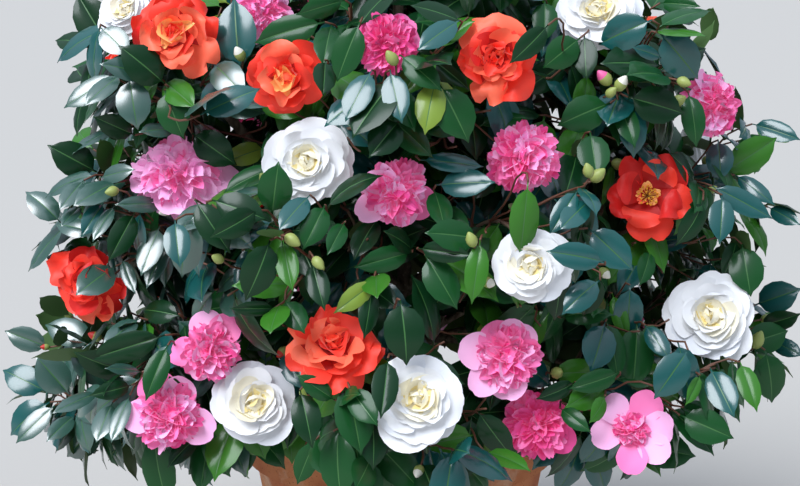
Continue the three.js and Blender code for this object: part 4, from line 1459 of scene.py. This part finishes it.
# Stamens: a boss of yellow filaments, each with a grain of an anther, in the heart of the open red blooms.
STAMEN_COUNT = 24
STAMEN_REACH = 0.34
STAMEN_FOOT = Vector((0, 0, 0.12))
FILAMENT_RADIUS = 0.012
ANTHER_RADIUS = 0.034
stamen_groups = []
for bloom in blooms:
    if not bloom["kind"].endswith("red") or bloom["heart"] != "open":
        continue
    for number in range(STAMEN_COUNT):
        spread = math.radians(4 + 40 * math.sqrt(number / STAMEN_COUNT))
        turn = number * GOLDEN_TURN
        way = Vector((math.sin(spread) * math.cos(turn), math.sin(spread) * math.sin(turn), math.cos(spread)))
        end = STAMEN_FOOT + way * (STAMEN_REACH * petal_dice.uniform(0.85, 1.1))
        grain = [end - way * 0.02, end + way * 0.015, end + way * 0.05]
        for path, radii, finish in (
            ([STAMEN_FOOT, end], [FILAMENT_RADIUS, FILAMENT_RADIUS * 0.8], 0),
            (grain, [FILAMENT_RADIUS, ANTHER_RADIUS, FILAMENT_RADIUS], 1),
        ):
            points, corners, starts = tube(path, radii, 4)
            stamen_groups.append(seat_bloom((points, corners, starts, np.full(len(starts), finish)), bloom))
# Filament flesh and pollen, in plain yellows.
filament, _ = new_material("stamen_filament", Base_Color=linear("#F0C46A"), Roughness=0.5)
anther, _ = new_material("stamen_pollen", Base_Color=linear("#E9A52C"), Roughness=0.85)
stamens = joined("stamens", stamen_groups, [filament, anther])
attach(stamens, "root")


# Calyces: the green cup of rounded scales that holds each bloom on its shoot.
calyx_groups = []
for bloom in blooms:
    for count, reach, lean, rise in ((5, 0.34, (70, 88), -0.06), (5, 0.24, (50, 66), -0.10)):
        ring = petals(count, reach, 0.34, lean, 0.2, 0.01, rise, (3, 2), foot=0.03)
        calyx_groups.append(seat_bloom(petal_group(ring, np.zeros((count, 3), int)), bloom))
# Bud scale: leathery yellow-green.
scale_green, _ = new_material("calyx_scale_green", Base_Color=linear("#7F8F4A"), Roughness=0.5)
calyces = joined("calyces", calyx_groups, [scale_green])
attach(calyces, "root")


# Buds: fat pointed eggs, green scales at the foot and the colour of the petals showing at the tip. They sit at the
# ends of leafy shoots beside the blooms.
BUD_SHARE = 0.14
BUD_LENGTHS = (0.013, 0.022)
BUD_GIRTH = 0.36
BUD_TIPS = ("green", "white", "pink", "red")
BUD_TIP_SHARES = (0.45, 0.25, 0.2, 0.1)
BUD_TIP_FROM = 0.58
bud_dice = np.random.default_rng(55)
bpy.ops.mesh.primitive_uv_sphere_add(segments=8, ring_count=7, radius=1)
bud = bpy.context.object
bud_points = read_points(bud)
bud_height = bud_points[:, 2].copy()
narrowing = np.interp(bud_height, (-1.0, -0.3, 0.3, 1.0), (1.0, 1.0, 0.86, 0.5))
bud_points[:, :2] *= BUD_GIRTH * narrowing[:, None]
bud_points[:, 2] = (bud_height + 1) / 2
bud_points = bud_points[:, [0, 2, 1]] * (1, 1, -1)
write_points(bud, bud_points)
for polygon in bud.data.polygons:
    middle = np.mean([bud_points[i][1] for i in polygon.vertices])
    polygon.material_index = 1 if middle > BUD_TIP_FROM else 0
bud_pattern = read_pattern(bud)
bud_places, bud_finishes = [], []
for shoot in shoots:
    if "bud" in shoot:
        tip_colour, length = shoot["bud"]
        way, tip = shoot["direction"], BUD_TIPS.index(tip_colour)
    elif shoot["bloom"] or not shoot["outer"] or bud_dice.random() > BUD_SHARE:
        continue
    else:
        way = (shoot["direction"] + Vector(bud_dice.normal(0, 0.25, 3))).normalized()
        length = bud_dice.uniform(*BUD_LENGTHS)
        tip = bud_dice.choice(len(BUD_TIPS), p=BUD_TIP_SHARES)
    bud_places.append(place_matrix(shoot["place"] - way * 0.001, way, way.orthogonal(), length))
    bud_finishes.append((0, tip))
# Bud scale, waxy green, and the tips of petals packed tight.
bud_materials = []
for name, colour in (
    ("bud_scale_green", "#9AA65A"),
    ("bud_tip_white", "#EDEBDD"),
    ("bud_tip_pink", "#E4639C"),
    ("bud_tip_red", "#C4281E"),
):
    bud_material, _ = new_material(name, Base_Color=linear(colour), Roughness=0.48)
    bud_materials.append(bud_material)
buds = joined("buds", [copies(bud_pattern, np.array(bud_places), np.array(bud_finishes))], bud_materials)
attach(buds, "root")


# The studio: a pale floor that runs out of sight, a pale sky and one very broad soft light from high on the
# camera's left. The sky is brighter overhead, so its sheen lies on the leaves. Its strength goes by height.
SKY_STRENGTHS = ((0.0, 0.60), (0.10, 0.55), (0.22, 0.22), (0.85, 1.10))
KEY_STRENGTH = 3.8
KEY_BREADTH = math.radians(40)
bpy.ops.mesh.primitive_plane_add(size=90, location=(0, 0, 0))
studio_floor = bpy.context.object
studio_floor.name = "studio_floor"
floor_paint, _ = new_material("pale_floor_paint", Base_Color=linear("#B7B3AC"), Roughness=0.9)
studio_floor.data.materials.append(floor_paint)
world = bpy.data.worlds.new("studio_sky")
world.use_nodes = True
height = add_node(world, "SeparateXYZ", "Z", {"Vector": add_node(world, "TexCoord", "Generated")})
sky_stops = [(position, (strength, strength, strength, 1.0)) for position, strength in SKY_STRENGTHS]
sky_strength = add_node(world, "ValToRGB", "Color", {"Fac": height}, sky_stops)
wire(world, world.node_tree.nodes["Background"], {"Color": linear("#D6E3F8"), "Strength": sky_strength})
bpy.context.scene.world = world

key_light = bpy.data.lights.new("broad_key_light", "SUN")
key_light.energy, key_light.angle, key_light.color = KEY_STRENGTH, KEY_BREADTH, linear("#F4F8FF")[:3]
key_holder = bpy.data.objects.new("broad_key_light", key_light)
key_holder.rotation_euler = BRIGHT_SKY.to_track_quat("Z", "Y").to_euler()
bpy.context.collection.objects.link(key_holder)
bpy.context.scene.view_settings.view_transform = "Standard"
